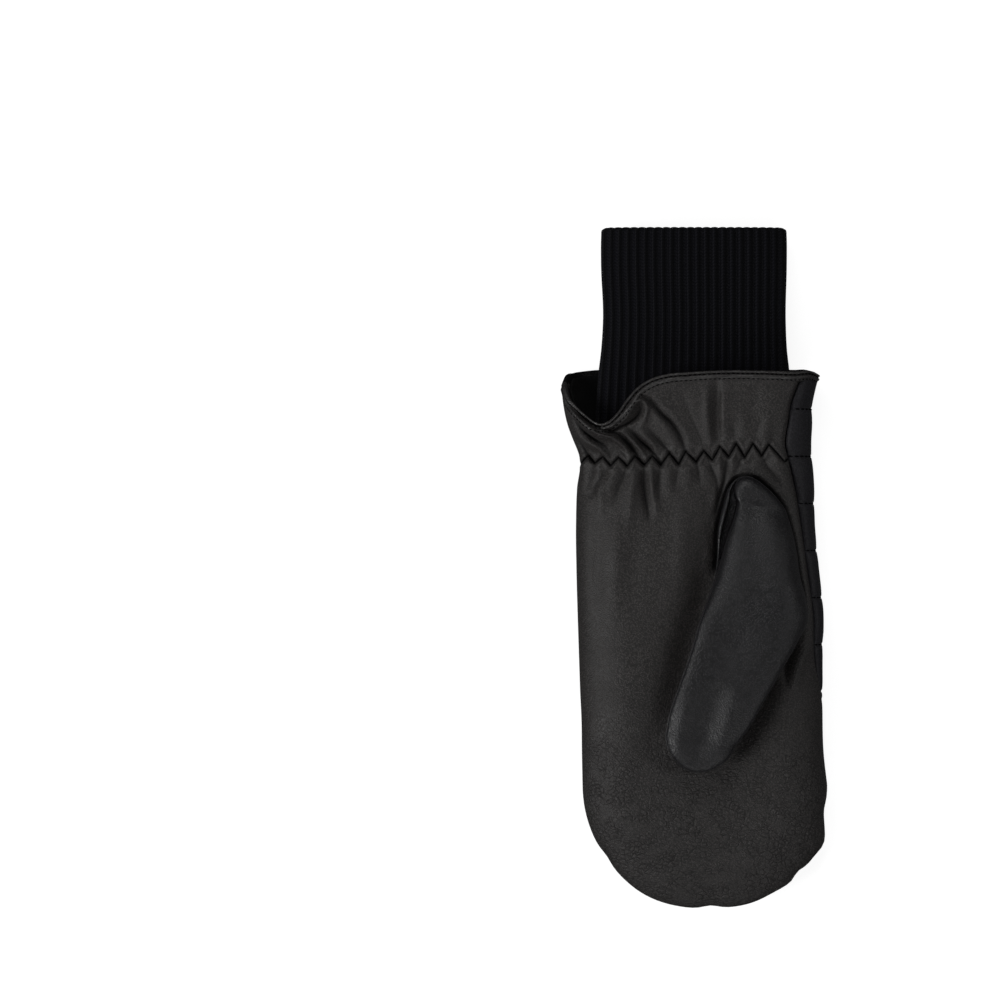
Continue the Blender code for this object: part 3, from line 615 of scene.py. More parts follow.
def distances_along(points):
    """How far along its line each point lies."""
    return np.concatenate([[0], np.cumsum([math.dist(a, b) for a, b in zip(points, points[1:])])])


def smooth_path(points):
    """A curve through the points, as many short straight runs."""
    ends = np.array([points[0]] + list(points) + [points[-1]], dtype=float)
    path = []
    for a, b, c, d in zip(ends, ends[1:], ends[2:], ends[3:]):
        for f in np.arange(PATH_STEPS) / PATH_STEPS:
            path.append(0.5 * (2 * b + (c - a) * f + (2 * a - 5 * b + 4 * c - d) * f ** 2
                               + (3 * b - a - 3 * c + d) * f ** 3))
    return np.array(path + [ends[-1]])


def off_path(places, path):
    """For each place: how far along the path it lies, and how far off it (left is negative)."""
    starts, runs = path[:-1], path[1:] - path[:-1]
    lengths = np.hypot(*runs.T)
    off = places[:, None, :] - starts
    f = np.clip((off * runs).sum(2) / lengths ** 2, 0, 1)
    aside = off - f[:, :, None] * runs
    distance = np.hypot(aside[:, :, 0], aside[:, :, 1])
    nearest = distance.argmin(1)
    pick = np.arange(len(places)), nearest
    side = np.sign(off[pick][:, 0] * runs[nearest][:, 1] - off[pick][:, 1] * runs[nearest][:, 0])
    done = np.concatenate([[0], np.cumsum(lengths)])
    along = (done[nearest] + f[pick] * lengths[nearest]) / done[-1]
    return along, distance[pick] * np.where(side == 0, 1, side)


def near_line(places, line, reach):
    """The places near a line, how far along it each lies, and how far off it."""
    margin = BELL_MARGIN * reach
    near = np.all((places > line.min(0) - margin) & (places < line.max(0) + margin), axis=1)
    return near, *off_path(places[near], line)


def near_wrinkles(wrinkles, places):
    """For each wrinkle: the places near it, how it fades along its path, and how far off it they lie."""
    for wrinkle in wrinkles:
        near, along, aside = near_line(places, smooth_path(wrinkle.path), max(wrinkle.left, wrinkle.right))
        yield wrinkle, near, np.clip(4 * along * (1 - along), 0, 1) ** WRINKLE_FADE, aside


def is_crease(wrinkle):
    return wrinkle.height < 0 and wrinkle.left + wrinkle.right < CREASE_WIDEST


def wrinkle_heights(wrinkles, places):
    """The height of all wrinkles at each place: a crease has a sharp bottom, and the others a round one."""
    heights = np.zeros(len(places))
    for wrinkle, near, fade, aside in near_wrinkles(wrinkles, places):
        reach = np.where(aside < 0, wrinkle.left, wrinkle.right)
        power = CREASE_POWER if is_crease(wrinkle) else ROUND_POWER
        heights[near] += wrinkle.height * fade * np.exp(-np.abs(aside / reach) ** power)
    return heights


def seam_fade(along):
    """The thumb's seam sinks less and less over the last part of its line."""
    return np.clip((1 - along) / SEAM_FADE, 0, 1)


def crease_shade_shares(places, seam_line):
    """How far each place lies in a crease, the wrist's stitched line or the thumb's seam, as the share of
    painted shade it gets: 1 is its bottom, painted darkest.
    """
    shares = np.zeros(len(places))
    for wrinkle, near, fade, aside in near_wrinkles(WRINKLES, places):
        if is_crease(wrinkle):
            deep = min(-wrinkle.height / CREASE_DEEP, 1) * fade
            shares[near] = np.maximum(shares[near], deep * bell(aside, CREASE_SHADE_REACH))
    for line, reach in [(ZIGZAG, STITCH_GROOVE_REACH), (seam_line, SEAM_SINK_REACH)]:
        near, along, off = near_line(places, line, reach)
        fade = seam_fade(along) if line is seam_line else 1
        shares[near] = np.maximum(shares[near], fade * bell(off, reach))
    return shares


# The hand's surface: rays run from the outline to the middle line, and from the last section's middle
# to the tip. A place on a ray is an angle round the hand's edge and then a share of the way to the middle.

Ray = namedtuple("Ray", "outline middle seam y")


def side_ray(y, side):
    seam = section("seam", y) if side == "right" else LEFT_SEAM
    return Ray((section(side, y), y), (section("middle", y), y), seam, y)


def tip_ray(bearing):
    middle_x = section("middle", LAST_SECTION)
    side = "right" if bearing > 0 else "left"
    power = TIP_POWER_RIGHT if bearing > 0 else TIP_POWER_LEFT
    reach = oval_radius(bearing, abs(section(side, LAST_SECTION) - middle_x), TIP_DEPTH, power)
    for pucker in TIP_PUCKERS:
        reach += pucker.height * bell(bearing - pucker.bearing, pucker.reach)
    turn = math.radians(bearing)
    outline = (middle_x + reach * math.sin(turn), LAST_SECTION - reach * math.cos(turn))
    return Ray(outline, (middle_x, LAST_SECTION), LEFT_SEAM, LAST_SECTION)


def hand_rays(rows):
    """Rays down the left side, round the tip and up the right side."""
    left = [side_ray(y, "left") for y in rows]
    tip = [tip_ray(-90 + 180 * i / TIP_STEPS) for i in range(1, TIP_STEPS)]
    right = [side_ray(y, "right") for y in reversed(rows)]
    return left + tip + right


def edge_depth(angle, inset):
    """How far in from the outline a place round the edge is: 0 is under, 90 the widest, 180 above."""
    rounding = LOWER_ROUNDING if angle <= 90 else UPPER_ROUNDING
    return inset + (rounding - inset) * (1 - math.sin(math.radians(angle)))


def place_on_ray(ray, angle, share, inset):
    length = math.dist(ray.outline, ray.middle)
    depth = blend(edge_depth(angle, inset), length, share)
    return [blend(a, b, depth / length) for a, b in zip(ray.outline, ray.middle)]


def mouth_shift(x, y, angle):
    """How far a point of the gauntlet moves, so that its rows follow the mouth's edge near it."""
    if y <= WRIST:
        return 0.0, 0.0
    name = "upper" if angle > 90 else "lower"
    seam_line = RIM - BINDING_WIDTH
    from_rim = RIM - max(y, seam_line)
    rise = max(-math.cos(math.radians(angle)), 0.0)
    slope = (mouth(name, x + 0.5) - mouth(name, x - 0.5)) * rise ** 3
    stretch = math.hypot(1.0, slope)
    rim_x = x + from_rim * slope / stretch
    rim_y = mouth(name, x) - from_rim / stretch
    f = min((y - WRIST) / (seam_line - WRIST), 1.0)
    return (rim_x - x) * f, blend(WRIST, rim_y, f) - y


def wrinkled_share(angle, seam):
    """How much of a wrinkle shows: all above, a part at the seam round the hand, none on the underside."""
    if angle <= seam:
        return WRINKLED_AT_SEAM * (angle / seam) ** 2
    return blend(WRINKLED_AT_SEAM, 1.0, smooth_step(seam, seam + WRINKLED_PAST_SEAM, angle))


def plain_point(ray, angle, share, inset):
    """A point of the hand's surface without wrinkles, and the direction in which a wrinkle lifts it."""
    x, y = place_on_ray(ray, angle, share, inset)
    outer_x, _ = place_on_ray(ray, angle, share, 0)
    shift_x, shift_y = mouth_shift(outer_x, ray.y, angle)
    x, y = x + shift_x, y + shift_y
    edge = section("edge", ray.y)
    turn = math.cos(math.radians(angle))
    shown = wrinkled_share(angle, ray.seam)
    aside = SIDEWAYS * shown * math.sin(math.radians(angle)) / math.dist(ray.outline, ray.middle)
    upwards = -turn if angle <= 90 else (-turn) ** CROWN_LIFT_POWER
    lift = [aside * (a - b) for a, b in zip(ray.outline, ray.middle)] + [upwards * shown]
    if angle <= 90:
        return x, y, blend(edge, inset, turn), *lift
    down_tip = smooth_step(LAST_SECTION, LAST_SECTION - TIP_DEPTH, y)
    crown = section("crown", ray.y) - (section("crown", LAST_SECTION) - TIP_CROWN) * down_tip
    return x, y, blend(edge, crown - inset, -turn), *lift


def palm_height(x, y):
    """The palm's height under the thumb, with its bed but without its smaller folds."""
    depth = min(x - section("left", y), section("right", y) - x, UPPER_ROUNDING)
    rise = math.sqrt(max(1 - (1 - depth / UPPER_ROUNDING) ** 2, 0.0))
    return blend(section("edge", y), section("crown", y) + fold_height(THUMB_BED, x, y), rise)


# Meshes

def new_object(name, vertices, faces):
    mesh = bpy.data.meshes.new(name)
    mesh.from_pydata([[METRES * c for c in vertex] for vertex in vertices], [], faces)
    mesh.validate()
    mesh.shade_smooth()
    piece = bpy.data.objects.new(name, mesh)
    bpy.context.scene.collection.objects.link(piece)
    return piece


def grid_faces(rows, columns, closed_rows=False, closed_columns=False, first=0):
    faces = []
    for i in range(rows if closed_rows else rows - 1):
        for j in range(columns if closed_columns else columns - 1):
            a, b = first + i * columns, first + (i + 1) % rows * columns
            k = (j + 1) % columns
            faces.append((a + j, a + k, b + k, b + j))
    return faces


def end_faces(rows, columns, first=0):
    """The two faces that close a tube."""
    last = first + (rows - 1) * columns
    return [tuple(range(first, first + columns)), tuple(range(last, last + columns))]


def closed_surface(name, rings):
    """Rings of points, each joined to the next and the last to the first."""
    return new_object(name, sum(rings, []), grid_faces(len(rings), len(rings[0]), True, True))


@contextmanager
def editing(piece):
    made = bmesh.new()
    made.from_mesh(piece.data)
    yield made
    made.to_mesh(piece.data)
    made.free()


def merge_and_face_out(piece, upwards=None):
    """Joins points that coincide, and turns all faces outwards, or an open sheet's faces up or down."""
    with editing(piece) as made:
        bmesh.ops.remove_doubles(made, verts=made.verts, dist=TINY)
        bmesh.ops.recalc_face_normals(made, faces=made.faces)
        mean = sum(face.normal.z * face.calc_area() for face in made.faces)
        if upwards is not None and (mean > 0) != upwards:
            bmesh.ops.reverse_faces(made, faces=made.faces)


def remove_faces_in_hole(piece, side):
    """Opens a sheet where the thumb joins the hand: its upper side is 1, and its underside -1."""
    forward, aside = thumb_frame()
    with editing(piece) as made:
        inside = []
        for face in made.faces:
            middle = face.calc_center_median()
            off = np.array([middle.x / METRES, middle.y / METRES]) - HOLE_CENTRE
            along, across = off @ forward / HOLE_HALF_LENGTH, off @ aside / HOLE_HALF_WIDTH
            if along ** 2 + across ** 2 < 1 and face.normal.z * side > 0 and middle.z > 0:
                inside.append(face)
        bmesh.ops.delete(made, geom=inside, context="FACES")


def join_into(piece, other):
    """Adds another piece's faces to a piece, and removes the other."""
    with editing(piece) as made:
        made.from_mesh(other.data)
    bpy.data.objects.remove(other)


def thicken(piece, thickness):
    """Gives a sheet its wall, inwards from its outer face."""
    wall = piece.modifiers.new("wall", "SOLIDIFY")
    wall.thickness = thickness * METRES
    wall.offset = -1.0
    wall.use_even_offset = False
    shape = piece.evaluated_get(bpy.context.evaluated_depsgraph_get())
    piece.data = bpy.data.meshes.new_from_object(shape)
    piece.modifiers.clear()


# The palm

def palm_relief(places, seam_line):
    """Wrinkles, the wrist's pinch and stitches, and the sunk seam of the thumb, over the plain palm."""
    relief = wrinkle_heights(WRINKLES, places)
    x, y = places.T
    relief += [sum(fold_height(fold, *place) for fold in [THUMB_BED] + PALM_DIPS) for place in places]
    relief -= WRIST_PINCH * bell(y - WRIST, WRIST_PINCH_REACH)
    near = (y > STITCH_BAND[0]) & (y < STITCH_BAND[1])
    _, off = off_path(places[near], ZIGZAG)
    relief[near] -= STITCH_GROOVE * bell(off, STITCH_GROOVE_REACH)
    relief[near] += STITCH_SWELL * bell(np.abs(off) - STITCH_SWELL_FROM, STITCH_SWELL_REACH)
    near = (x > SEAM_FROM_X) & (y > SEAM_FROM_TO_Y[0]) & (y < SEAM_FROM_TO_Y[1])
    along, off = off_path(places[near], seam_line)
    relief[near] -= seam_fade(along) * SEAM_SINK * bell(off, SEAM_SINK_REACH)
    relief[near] += seam_fade(along) * SEAM_SWELL * bell(np.abs(off) - SEAM_SWELL_FROM, SEAM_SWELL_REACH)
    return relief


def places_over(seam, round_steps, flat_steps):
    """Places on a ray from an angle round the hand's edge up to the middle line."""
    over_edge = [(blend(seam, 180, i / round_steps), 0) for i in range(round_steps)]
    return over_edge + [(180, i / flat_steps) for i in range(flat_steps + 1)]


def palm_places(ray):
    """Places on a ray that lie evenly apart, from the seam over the hand's edge and on to the middle line."""
    rough = places_over(ray.seam + SEAM_GAP, ROUGH_ROUND_STEPS, ROUGH_FLAT_STEPS)
    run = distances_along([plain_point(ray, angle, share, 0)[:3] for angle, share in rough])
    even = np.linspace(0, run[-1], PALM_COLUMNS)
    angles, shares = [np.interp(even, run, column) for column in zip(*rough)]
    return list(zip(angles.tolist(), shares.tolist()))


def seam_roll(angle, seam):
    """How far the leather dips beside the seam round the hand, by its distance from the seam."""
    rounding = UPPER_ROUNDING if angle > 90 else LOWER_ROUNDING
    return SEAM_ROLL * bell(abs(math.radians(angle - seam)) * rounding * SEAM_ROUNDING_SHARE, SEAM_ROLL_REACH)


def palm_rows():
    """Rows that are closest together at the wrist's stitches."""
    rows = []
    for start, (end, longest) in zip([LEATHER_TOP] + [band[0] for band in PALM_BANDS], PALM_BANDS):
        rows = rows[:-1] + steps_between(start, end, longest)
    return rows


def make_seam_allowance():
    """The palm's edge, turned in behind the seam round the hand."""
    rows = steps_between(SEAM_ALLOWANCE_TOP, LAST_SECTION, SEAM_ALLOWANCE_ROW)
    inner = [SeamPlace(place.off, place.inset + SEAM_ALLOWANCE_WALL) for place in SEAM_ALLOWANCE[::-1]]
    places = SEAM_ALLOWANCE + inner
    rings = [[plain_point(ray, ray.seam + place.off, 0, place.inset)[:3] for place in places]
             for ray in hand_rays(rows)]
    faces = grid_faces(len(rings), len(places), closed_columns=True) + end_faces(len(rings), len(places))
    allowance = new_object("seam_allowance", sum(rings, []), faces)
    merge_and_face_out(allowance)
    return allowance


def make_palm(seam_line):
    grid = []
    for ray in hand_rays(palm_rows()):
        for angle, share in palm_places(ray):
            grid.append(plain_point(ray, angle, share, seam_roll(angle, ray.seam) if share == 0 else 0.0))
    grid = np.array(grid)
    plain = grid[:, :2].copy()
    grid[:, :3] += palm_relief(plain, seam_line)[:, None] * grid[:, 3:]
    faces = grid_faces(len(grid) // PALM_COLUMNS, PALM_COLUMNS)
    palm = new_object("palm_leather", grid[:, :3].tolist(), faces)
    # Painted shade: how dark each point is painted in crease valleys, the stitch groove and along the thumb's
    # seam
    crease_shade_layer = palm.data.attributes.new("crease", "FLOAT", "POINT")
    crease_shade_layer.data.foreach_set("value", crease_shade_shares(plain, seam_line))
    merge_and_face_out(palm, upwards=True)
    remove_faces_in_hole(palm, 1)
    thicken(palm, LEATHER)
    join_into(palm, make_seam_allowance())
    return palm


# The quilted back

def quilt_inset(x, y):
    """How deep the back is drawn in at a quilting line, with small puckers along it."""
    line = QUILT_FIRST - QUILT_PITCH * round((QUILT_FIRST - y) / QUILT_PITCH)
    off = min(abs(y - line) / QUILT_REACH, 1.0)
    pucker = QUILT_PUCKER * math.sin(2 * math.pi * x / QUILT_PUCKER_PITCH + line) * off * (1 - off) * 4
    groove = QUILT_CUT * bell(y - line, QUILT_CUT_REACH)
    return QUILT_DEPTH * (1 - off) ** 2 + max(pucker, 0.0) * (1 - off) + groove


def back_point(ray, angle, share):
    along = ray.outline[0] if share == 0 else blend(ray.outline[0], ray.middle[0], share)
    y = plain_point(ray, angle, share, 0.0)[1]
    inset = quilt_inset(angle * QUILT_PUCKER_TURN + along, y) + seam_roll(angle, ray.seam)
    return plain_point(ray, angle, share, inset)


def back_rows():
    """Rows that crowd together at each quilting line."""
    lines = [QUILT_FIRST - QUILT_PITCH * i for i in range(QUILT_LINES)]
    rows = {line + side * off for line in lines for off in QUILT_ROWS for side in (-1, 1)}
    inner = sorted((y for y in rows if LAST_SECTION < y < LEATHER_TOP), reverse=True)
    return [LEATHER_TOP] + inner + [LAST_SECTION]


def back_places(seam):
    round_edge = np.linspace(seam - SEAM_GAP, 0, BACK_ROUND_STEPS + 1).tolist()
    under = [(0, (i + 1) / BACK_UNDER_STEPS) for i in range(BACK_UNDER_STEPS)]
    return [(angle, 0) for angle in round_edge] + under


def make_back(seam_line):
    grid = [back_point(ray, *place) for ray in hand_rays(back_rows()) for place in back_places(ray.seam)]
    grid = np.array(grid)
    grid[:, :3] += palm_relief(grid[:, :2], seam_line)[:, None] * grid[:, 3:]
    columns = BACK_ROUND_STEPS + BACK_UNDER_STEPS + 1
    back = new_object("back_quilting", grid[:, :3].tolist(), grid_faces(len(grid) // columns, columns))
    merge_and_face_out(back, upwards=False)
    thicken(back, PADDED_BACK)
    return back


# The gauntlet's binding and lining

def mouth_loop(y, inset, wrinkled=0.0):
    """A closed loop round the hand at one of the gauntlet's rows, with a share of the palm's wrinkles."""
    left, right = side_ray(y, "left"), side_ray(y, "right")
    steps = range(1, MOUTH_UNDER_STEPS + 1)
    flat = [(0, i / MOUTH_UNDER_STEPS) for i in steps]
    left_over, right_over = [places_over(ray.seam, MOUTH_ROUND_STEPS, MOUTH_FLAT_STEPS)
                             for ray in (left, right)]
    loop = [(left, place) for place in left_over]
    loop += [(right, place) for place in right_over[-2::-1]]
    loop += [(right, (right.seam * (1 - i / MOUTH_UNDER_STEPS), 0)) for i in steps]
    loop += [(right, place) for place in flat] + [(left, place) for place in flat[-2::-1]]
    loop += [(left, (left.seam * (i - 1) / MOUTH_UNDER_STEPS, 0)) for i in steps]
    points = np.array([plain_point(ray, angle, share, inset(angle)) for ray, (angle, share) in loop])
    points[:, :3] += wrinkled * wrinkle_heights(GAUNTLET_WRINKLES, points[:, :2])[:, None] * points[:, 3:]
    return points[:, :3].tolist()


def binding_loop(place):
    return mouth_loop(RIM - place.from_rim, lambda angle: place.inset, 1.0)


def make_binding():
    rings = [[(x, y, max(z, 0.0)) for x, y, z in binding_loop(place)] for place in BINDING_EDGE]
    binding = closed_surface("mouth_binding", rings)
    merge_and_face_out(binding)
    # Painted shade: faces low on the binding that look up take the near-black third leather
    for face in binding.data.polygons:
        under = face.center.z < BINDING_BACK_BELOW * METRES
        face.material_index = 2 if under and face.normal.z > 0 else int(under)
    return binding


def lining_inset(y, angle):
    over = blend(LINING_AT_WRIST, LINING_AT_RIM, smooth_step(WRIST, LEATHER_TOP, y))
    over = blend(over, LINING_AT_WRIST, smooth_step(LINING_TOP - LINING_RIM_BAND, LINING_TOP, y))
    return blend(PADDED_BACK + GAP, over, smooth_step(*LINING_TURN, angle))


def lining_ring(y, inset):
    wrinkled = smooth_step(LINING_TOP - LINING_RIM_BAND, LINING_TOP - LINING_RIM_BAND / 3, y)
    return mouth_loop(y, lambda angle: lining_inset(y, angle) + inset, wrinkled)


def make_lining():
    rows = steps_between(LINING_TOP, LINING_END, LINING_ROW)
    rings = [lining_ring(y, 0.0) for y in rows] + [lining_ring(y, LINING) for y in reversed(rows)]
    lining = closed_surface("lining_cloth", rings)
    merge_and_face_out(lining)
    return lining


# The thumb: rays run from its outline to its middle line

ThumbRay = namedtuple("ThumbRay", "outline middle along crown")


def thumb_frame():
    run = np.subtract(THUMB_TIP, THUMB_TOP)
    along = run / np.hypot(*run)
    return along, np.array([-along[1], along[0]])


def thumb_place(along, across):
    forward, aside = thumb_frame()
    return np.array(THUMB_TOP) + forward * along + aside * across


def thumb_side_ray(along, side):
    outline = thumb_place(along, thumb_section(side, along))
    return ThumbRay(outline, thumb_place(along, thumb_section("middle", along)), along,
                    thumb_section("crown", along))


def thumb_end_ray(bearing, along, end, forward):
    """A ray of a rounded end: forward is -1 at the seam's arch and 1 at the tip."""
    middle = thumb_section("middle", along)
    side = "right" if bearing > 0 else "left"
    power = end.right_power if bearing > 0 else end.left_power
    reach = oval_radius(bearing, abs(thumb_section(side, along) - middle), end.depth, power)
    turn = math.radians(bearing)
    outline = thumb_place(along + forward * reach * math.cos(turn), middle + reach * math.sin(turn))
    return ThumbRay(outline, thumb_place(along, middle), along, thumb_section("crown", along))


def thumb_arch_rays():
    bearings = [-90 + 180 * i / ARCH_STEPS for i in range(1, ARCH_STEPS)]
    return bearings, [thumb_end_ray(bearing, THUMB_SECTIONS[0].along, THUMB_ARCH, -1) for bearing in bearings]


def gusset_share(along):
    return thumb_section("fold", along) / max(row.fold for row in THUMB_SECTIONS)


def thumb_rays():
    """Rays all round the thumb: the arch, down the right side, the tip, and up the left side."""
    first, last = THUMB_SECTIONS[0].along, THUMB_SECTIONS[-1].along
    rows = steps_between(first, last, THUMB_ROW)
    bearings, arch = thumb_arch_rays()
    arch_gusset = [gusset_share(first) * smooth_step(*GUSSET_BEARINGS, bearing) for bearing in bearings]
    turns = [90 - 180 * i / THUMB_END_STEPS for i in range(1, THUMB_END_STEPS)]
    tip = [thumb_end_ray(bearing, last, THUMB_END, 1) for bearing in turns]
    right = [thumb_side_ray(along, "right") for along in rows]
    left = [thumb_side_ray(along, "left") for along in reversed(rows)]
    gussets = arch_gusset + [0.0] * len(right + tip) + [gusset_share(ray.along) for ray in left]
    return list(zip(arch + right + tip + left, gussets))


def thumb_seam_line():
    """The sewn part of the thumb's outline: up the gusset's side, over the arch and down the right."""
    first = THUMB_SECTIONS[0].along
    left = [thumb_side_ray(along, "left") for along in steps_between(THUMB_SEWN_LEFT, first, SEAM_ROW)]
    right = [thumb_side_ray(along, "right") for along in steps_between(first, THUMB_SEWN_RIGHT, SEAM_ROW)]
    return np.array([ray.outline for ray in left + thumb_arch_rays()[1] + right])


def thumb_profile(ray, gusset):
    """Depths from the outline and heights over the palm, from the underside's middle up to the crown."""
    length = math.dist(ray.outline, ray.middle)
    edge = thumb_section("edge", ray.along)
    lip = edge + GUSSET_LIP * max(gusset, PLAIN_EDGE_LIP)
    width = blend(PLAIN_EDGE_WIDTH, GUSSET_WIDTH, gusset)
    under = min(THUMB_UNDER_ROUNDING, length / 2)
    profile = [(blend(under, length, share), THUMB_CLEAR) for share in THUMB_UNDER_SHARES]
    for angle in THUMB_UNDER_TURNS:
        turn = math.radians(angle)
        profile.append((under * (1 - math.sin(turn)), blend(edge, THUMB_CLEAR, math.cos(turn))))
    for point in GUSSET:
        folded = blend(GUSSET_FLOOR, lip, point.height)
        plain = blend(edge, lip, point.across / GUSSET[-1].across * PLAIN_EDGE_RISE)
        profile.append((width * point.across, blend(plain, folded, gusset)))
    for i in range(THUMB_CROWN_STEPS + 1):
        turn = math.radians(90 * i / THUMB_CROWN_STEPS)
        across, up = math.cos(turn) ** (2 / THUMB_POWER), math.sin(turn) ** (2 / THUMB_POWER)
        profile.append((blend(length, width, across), blend(lip, ray.crown, up)))
    return profile


def thumb_point(ray, depth, height):
    length = math.dist(ray.outline, ray.middle)
    x, y = [blend(a, b, min(depth / length, 1.0)) for a, b in zip(ray.outline, ray.middle)]
    relief = sum(fold_height(fold, x, y) for fold in THUMB_FOLDS) * smooth_step(*THUMB_FOLDS_RISE, height)
    return x, y, palm_height(x, y) + height + relief


def make_thumb():
    rays = thumb_rays()
    grid = [[thumb_point(ray, *place) for place in thumb_profile(ray, gusset)] for ray, gusset in rays]
    faces = grid_faces(len(grid), len(grid[0]), closed_rows=True)
    thumb = new_object("thumb_leather", sum(grid, []), faces)
    # Painted shade: the slot's faces take the near-black second leather
    for i, face in enumerate(thumb.data.polygons):
        row, column = divmod(i, len(grid[0]) - 1)
        face.material_index = int(column in SLOT_COLUMNS and rays[row][1] > SLOT_GUSSET)
    merge_and_face_out(thumb)
    remove_faces_in_hole(thumb, -1)
    return thumb


# The knit cuff

def even_loop(half_width, half_height, count):
    """Points spaced evenly round an oval with flattened sides."""
    turns = np.linspace(0, 2 * np.pi, LOOP_POINTS)
    x, z = [half * np.sign(wave) * np.abs(wave) ** (2 / CUFF_POWER)
            for half, wave in ((half_width, np.cos(turns)), (half_height, np.sin(turns)))]
    run = np.concatenate([[0], np.cumsum(np.hypot(np.diff(x), np.diff(z)))])
    even = np.linspace(0, run[-1], count, endpoint=False)
    return np.interp(even, run, x), np.interp(even, run, z)


def cuff_ring(y, inset, rib_depth, scallop=0.0):
    left, right, bottom, top = [cuff_section(name, y) for name in ("left", "right", "bottom", "top")]
    half_width, half_height = (right - left) / 2, (top - bottom) / 2
    count = CUFF_RIBS * CUFF_COLUMNS_PER_RIB
    crest = np.abs(np.cos(np.arange(count) / CUFF_COLUMNS_PER_RIB * np.pi)) ** RIB_POWER
    sink = inset + rib_depth * (1 - crest)
    across, up = even_loop(half_width, half_height, count)
    across, up = across * (1 - sink / half_width), up * (1 - sink / half_height)
    forward = y + scallop * (crest - 1)
    return [((left + right) / 2 + a, f, (bottom + top) / 2 + b) for a, f, b in zip(across, forward, up)]


def make_cuff():
    """Two layers of ribbed knit that turn over at the folded edge."""
    rows = steps_between(LINING_END, CUFF_FOLDED_EDGE - CUFF_EDGE_ROUNDING, CUFF_ROW)
    rings = [cuff_ring(y, 0.0, CUFF_RIB_DEPTH) for y in rows]
    for angle in range(15, 180, 15):
        turn = math.radians(angle)
        y = CUFF_FOLDED_EDGE - CUFF_EDGE_ROUNDING * (1 - math.sin(turn))
        rib_depth = CUFF_RIB_DEPTH * blend(CUFF_EDGE_RIBS, 1.0, abs(math.cos(turn)))
        rings.append(cuff_ring(y, KNIT / 2 * (1 - math.cos(turn)), rib_depth, KNIT_SCALLOP))
    inner_rows = steps_between(rows[-1], LINING_END, CUFF_INNER_ROW)
    rings += [cuff_ring(y, KNIT, CUFF_RIB_DEPTH / 2) for y in inner_rows]
    cuff = closed_surface("ribbed_cuff", rings)
    add_knit_coordinates(cuff, rings)
    return cuff


def add_knit_coordinates(cuff, rings):
    """Gives each corner its place in the knit: ribs across, and stitches along."""
    columns = len(rings[0])
    run = distances_along([ring[0] for ring in rings])
    layer = cuff.data.uv_layers.new(name="knit")
    for face in cuff.data.polygons:
        corners = [divmod(cuff.data.loops[loop].vertex_index, columns) for loop in face.loop_indices]
        wraps = max(column for _, column in corners) - min(column for _, column in corners) > 1
        for loop, (row, column) in zip(face.loop_indices, corners):
            column = columns if wraps and column == 0 else column
            layer.data[loop].uv = (column / CUFF_COLUMNS_PER_RIB, run[row] / KNIT_ROW)


# Stitches

def add_thread(points, vertices, faces, radius):
    """Adds one closed thread along its points, thinner at both ends."""
    points = [Vector((x, y, max(z, radius))) for x, y, z in points]
    first = len(vertices)
    for i, point in enumerate(points):
        ahead = (points[min(i + 1, len(points) - 1)] - points[max(i - 1, 0)]).normalized()
        aside = ahead.cross(Vector((0, 0, 1)))
        aside = aside.normalized() if aside.length > TINY else Vector((1, 0, 0))
        up = aside.cross(ahead)
        f = i / (len(points) - 1)
        size = radius * max(math.sqrt(4 * f * (1 - f)), THREAD_END)
        for k in range(THREAD_SIDES):
            turn = 2 * math.pi * k / THREAD_SIDES
            vertices.append(point + size * (math.cos(turn) * aside + math.sin(turn) * up))
    faces += grid_faces(len(points), THREAD_SIDES, closed_columns=True, first=first)
    faces += end_faces(len(points), THREAD_SIDES, first)


def make_threads(name, stitches, radius):
    vertices, faces = [], []
    for stitch in stitches:
        add_thread(stitch, vertices, faces, radius)
    threads = new_object(name, vertices, faces)
    merge_and_face_out(threads)
    return threads


def make_wrist_stitches(palm):
    """A thread for each run of the zigzag, on the palm's surface."""
    shape = palm.evaluated_get(bpy.context.evaluated_depsgraph_get())
    stitches = []
    for start, end in zip(ZIGZAG, ZIGZAG[1:]):
        points = []
        for f in np.linspace(0.0, 1.0, WRIST_STITCH_POINTS):
            x, y = blend(start, end, f)
            hit, place, _, _ = shape.ray_cast((x * METRES, y * METRES, ABOVE_ALL * METRES), (0, 0, -1))
            if hit:
                points.append((x, y, place.z / METRES + STITCH_CROWN * math.sin(math.pi * f) - STITCH_SUNK))
        if len(points) > 3:
            stitches.append(points)
    return make_threads("wrist_stitches", stitches, WRIST_THREAD_RADIUS)


def stitches_along(line, pitch, length):
    """Cuts a line of points into stitches of one length."""
    run = distances_along(line)
    columns = np.array(line).T
    stitches = []
    for i in range(int(run[-1] / pitch)):
        places = i * pitch + length * np.linspace(0, 1, STITCH_POINTS)
        stitches.append(list(zip(*[np.interp(places, run, column) for column in columns])))
    return stitches


def make_binding_stitches():
    """Rows of short stitches round the binding, sunk in its grooves."""
    stitches = []
    for place in BINDING_STITCHES:
        loop = binding_loop(place)
        stitches += stitches_along(loop + loop[:1], BINDING_STITCH_PITCH, BINDING_STITCH_LENGTH)
    return make_threads("binding_stitches", stitches, THREAD_RADIUS)


def distance_to(shape, start, towards):
    hit, place, _, _ = shape.ray_cast(start, towards)
    return (place - start).length if hit else math.inf


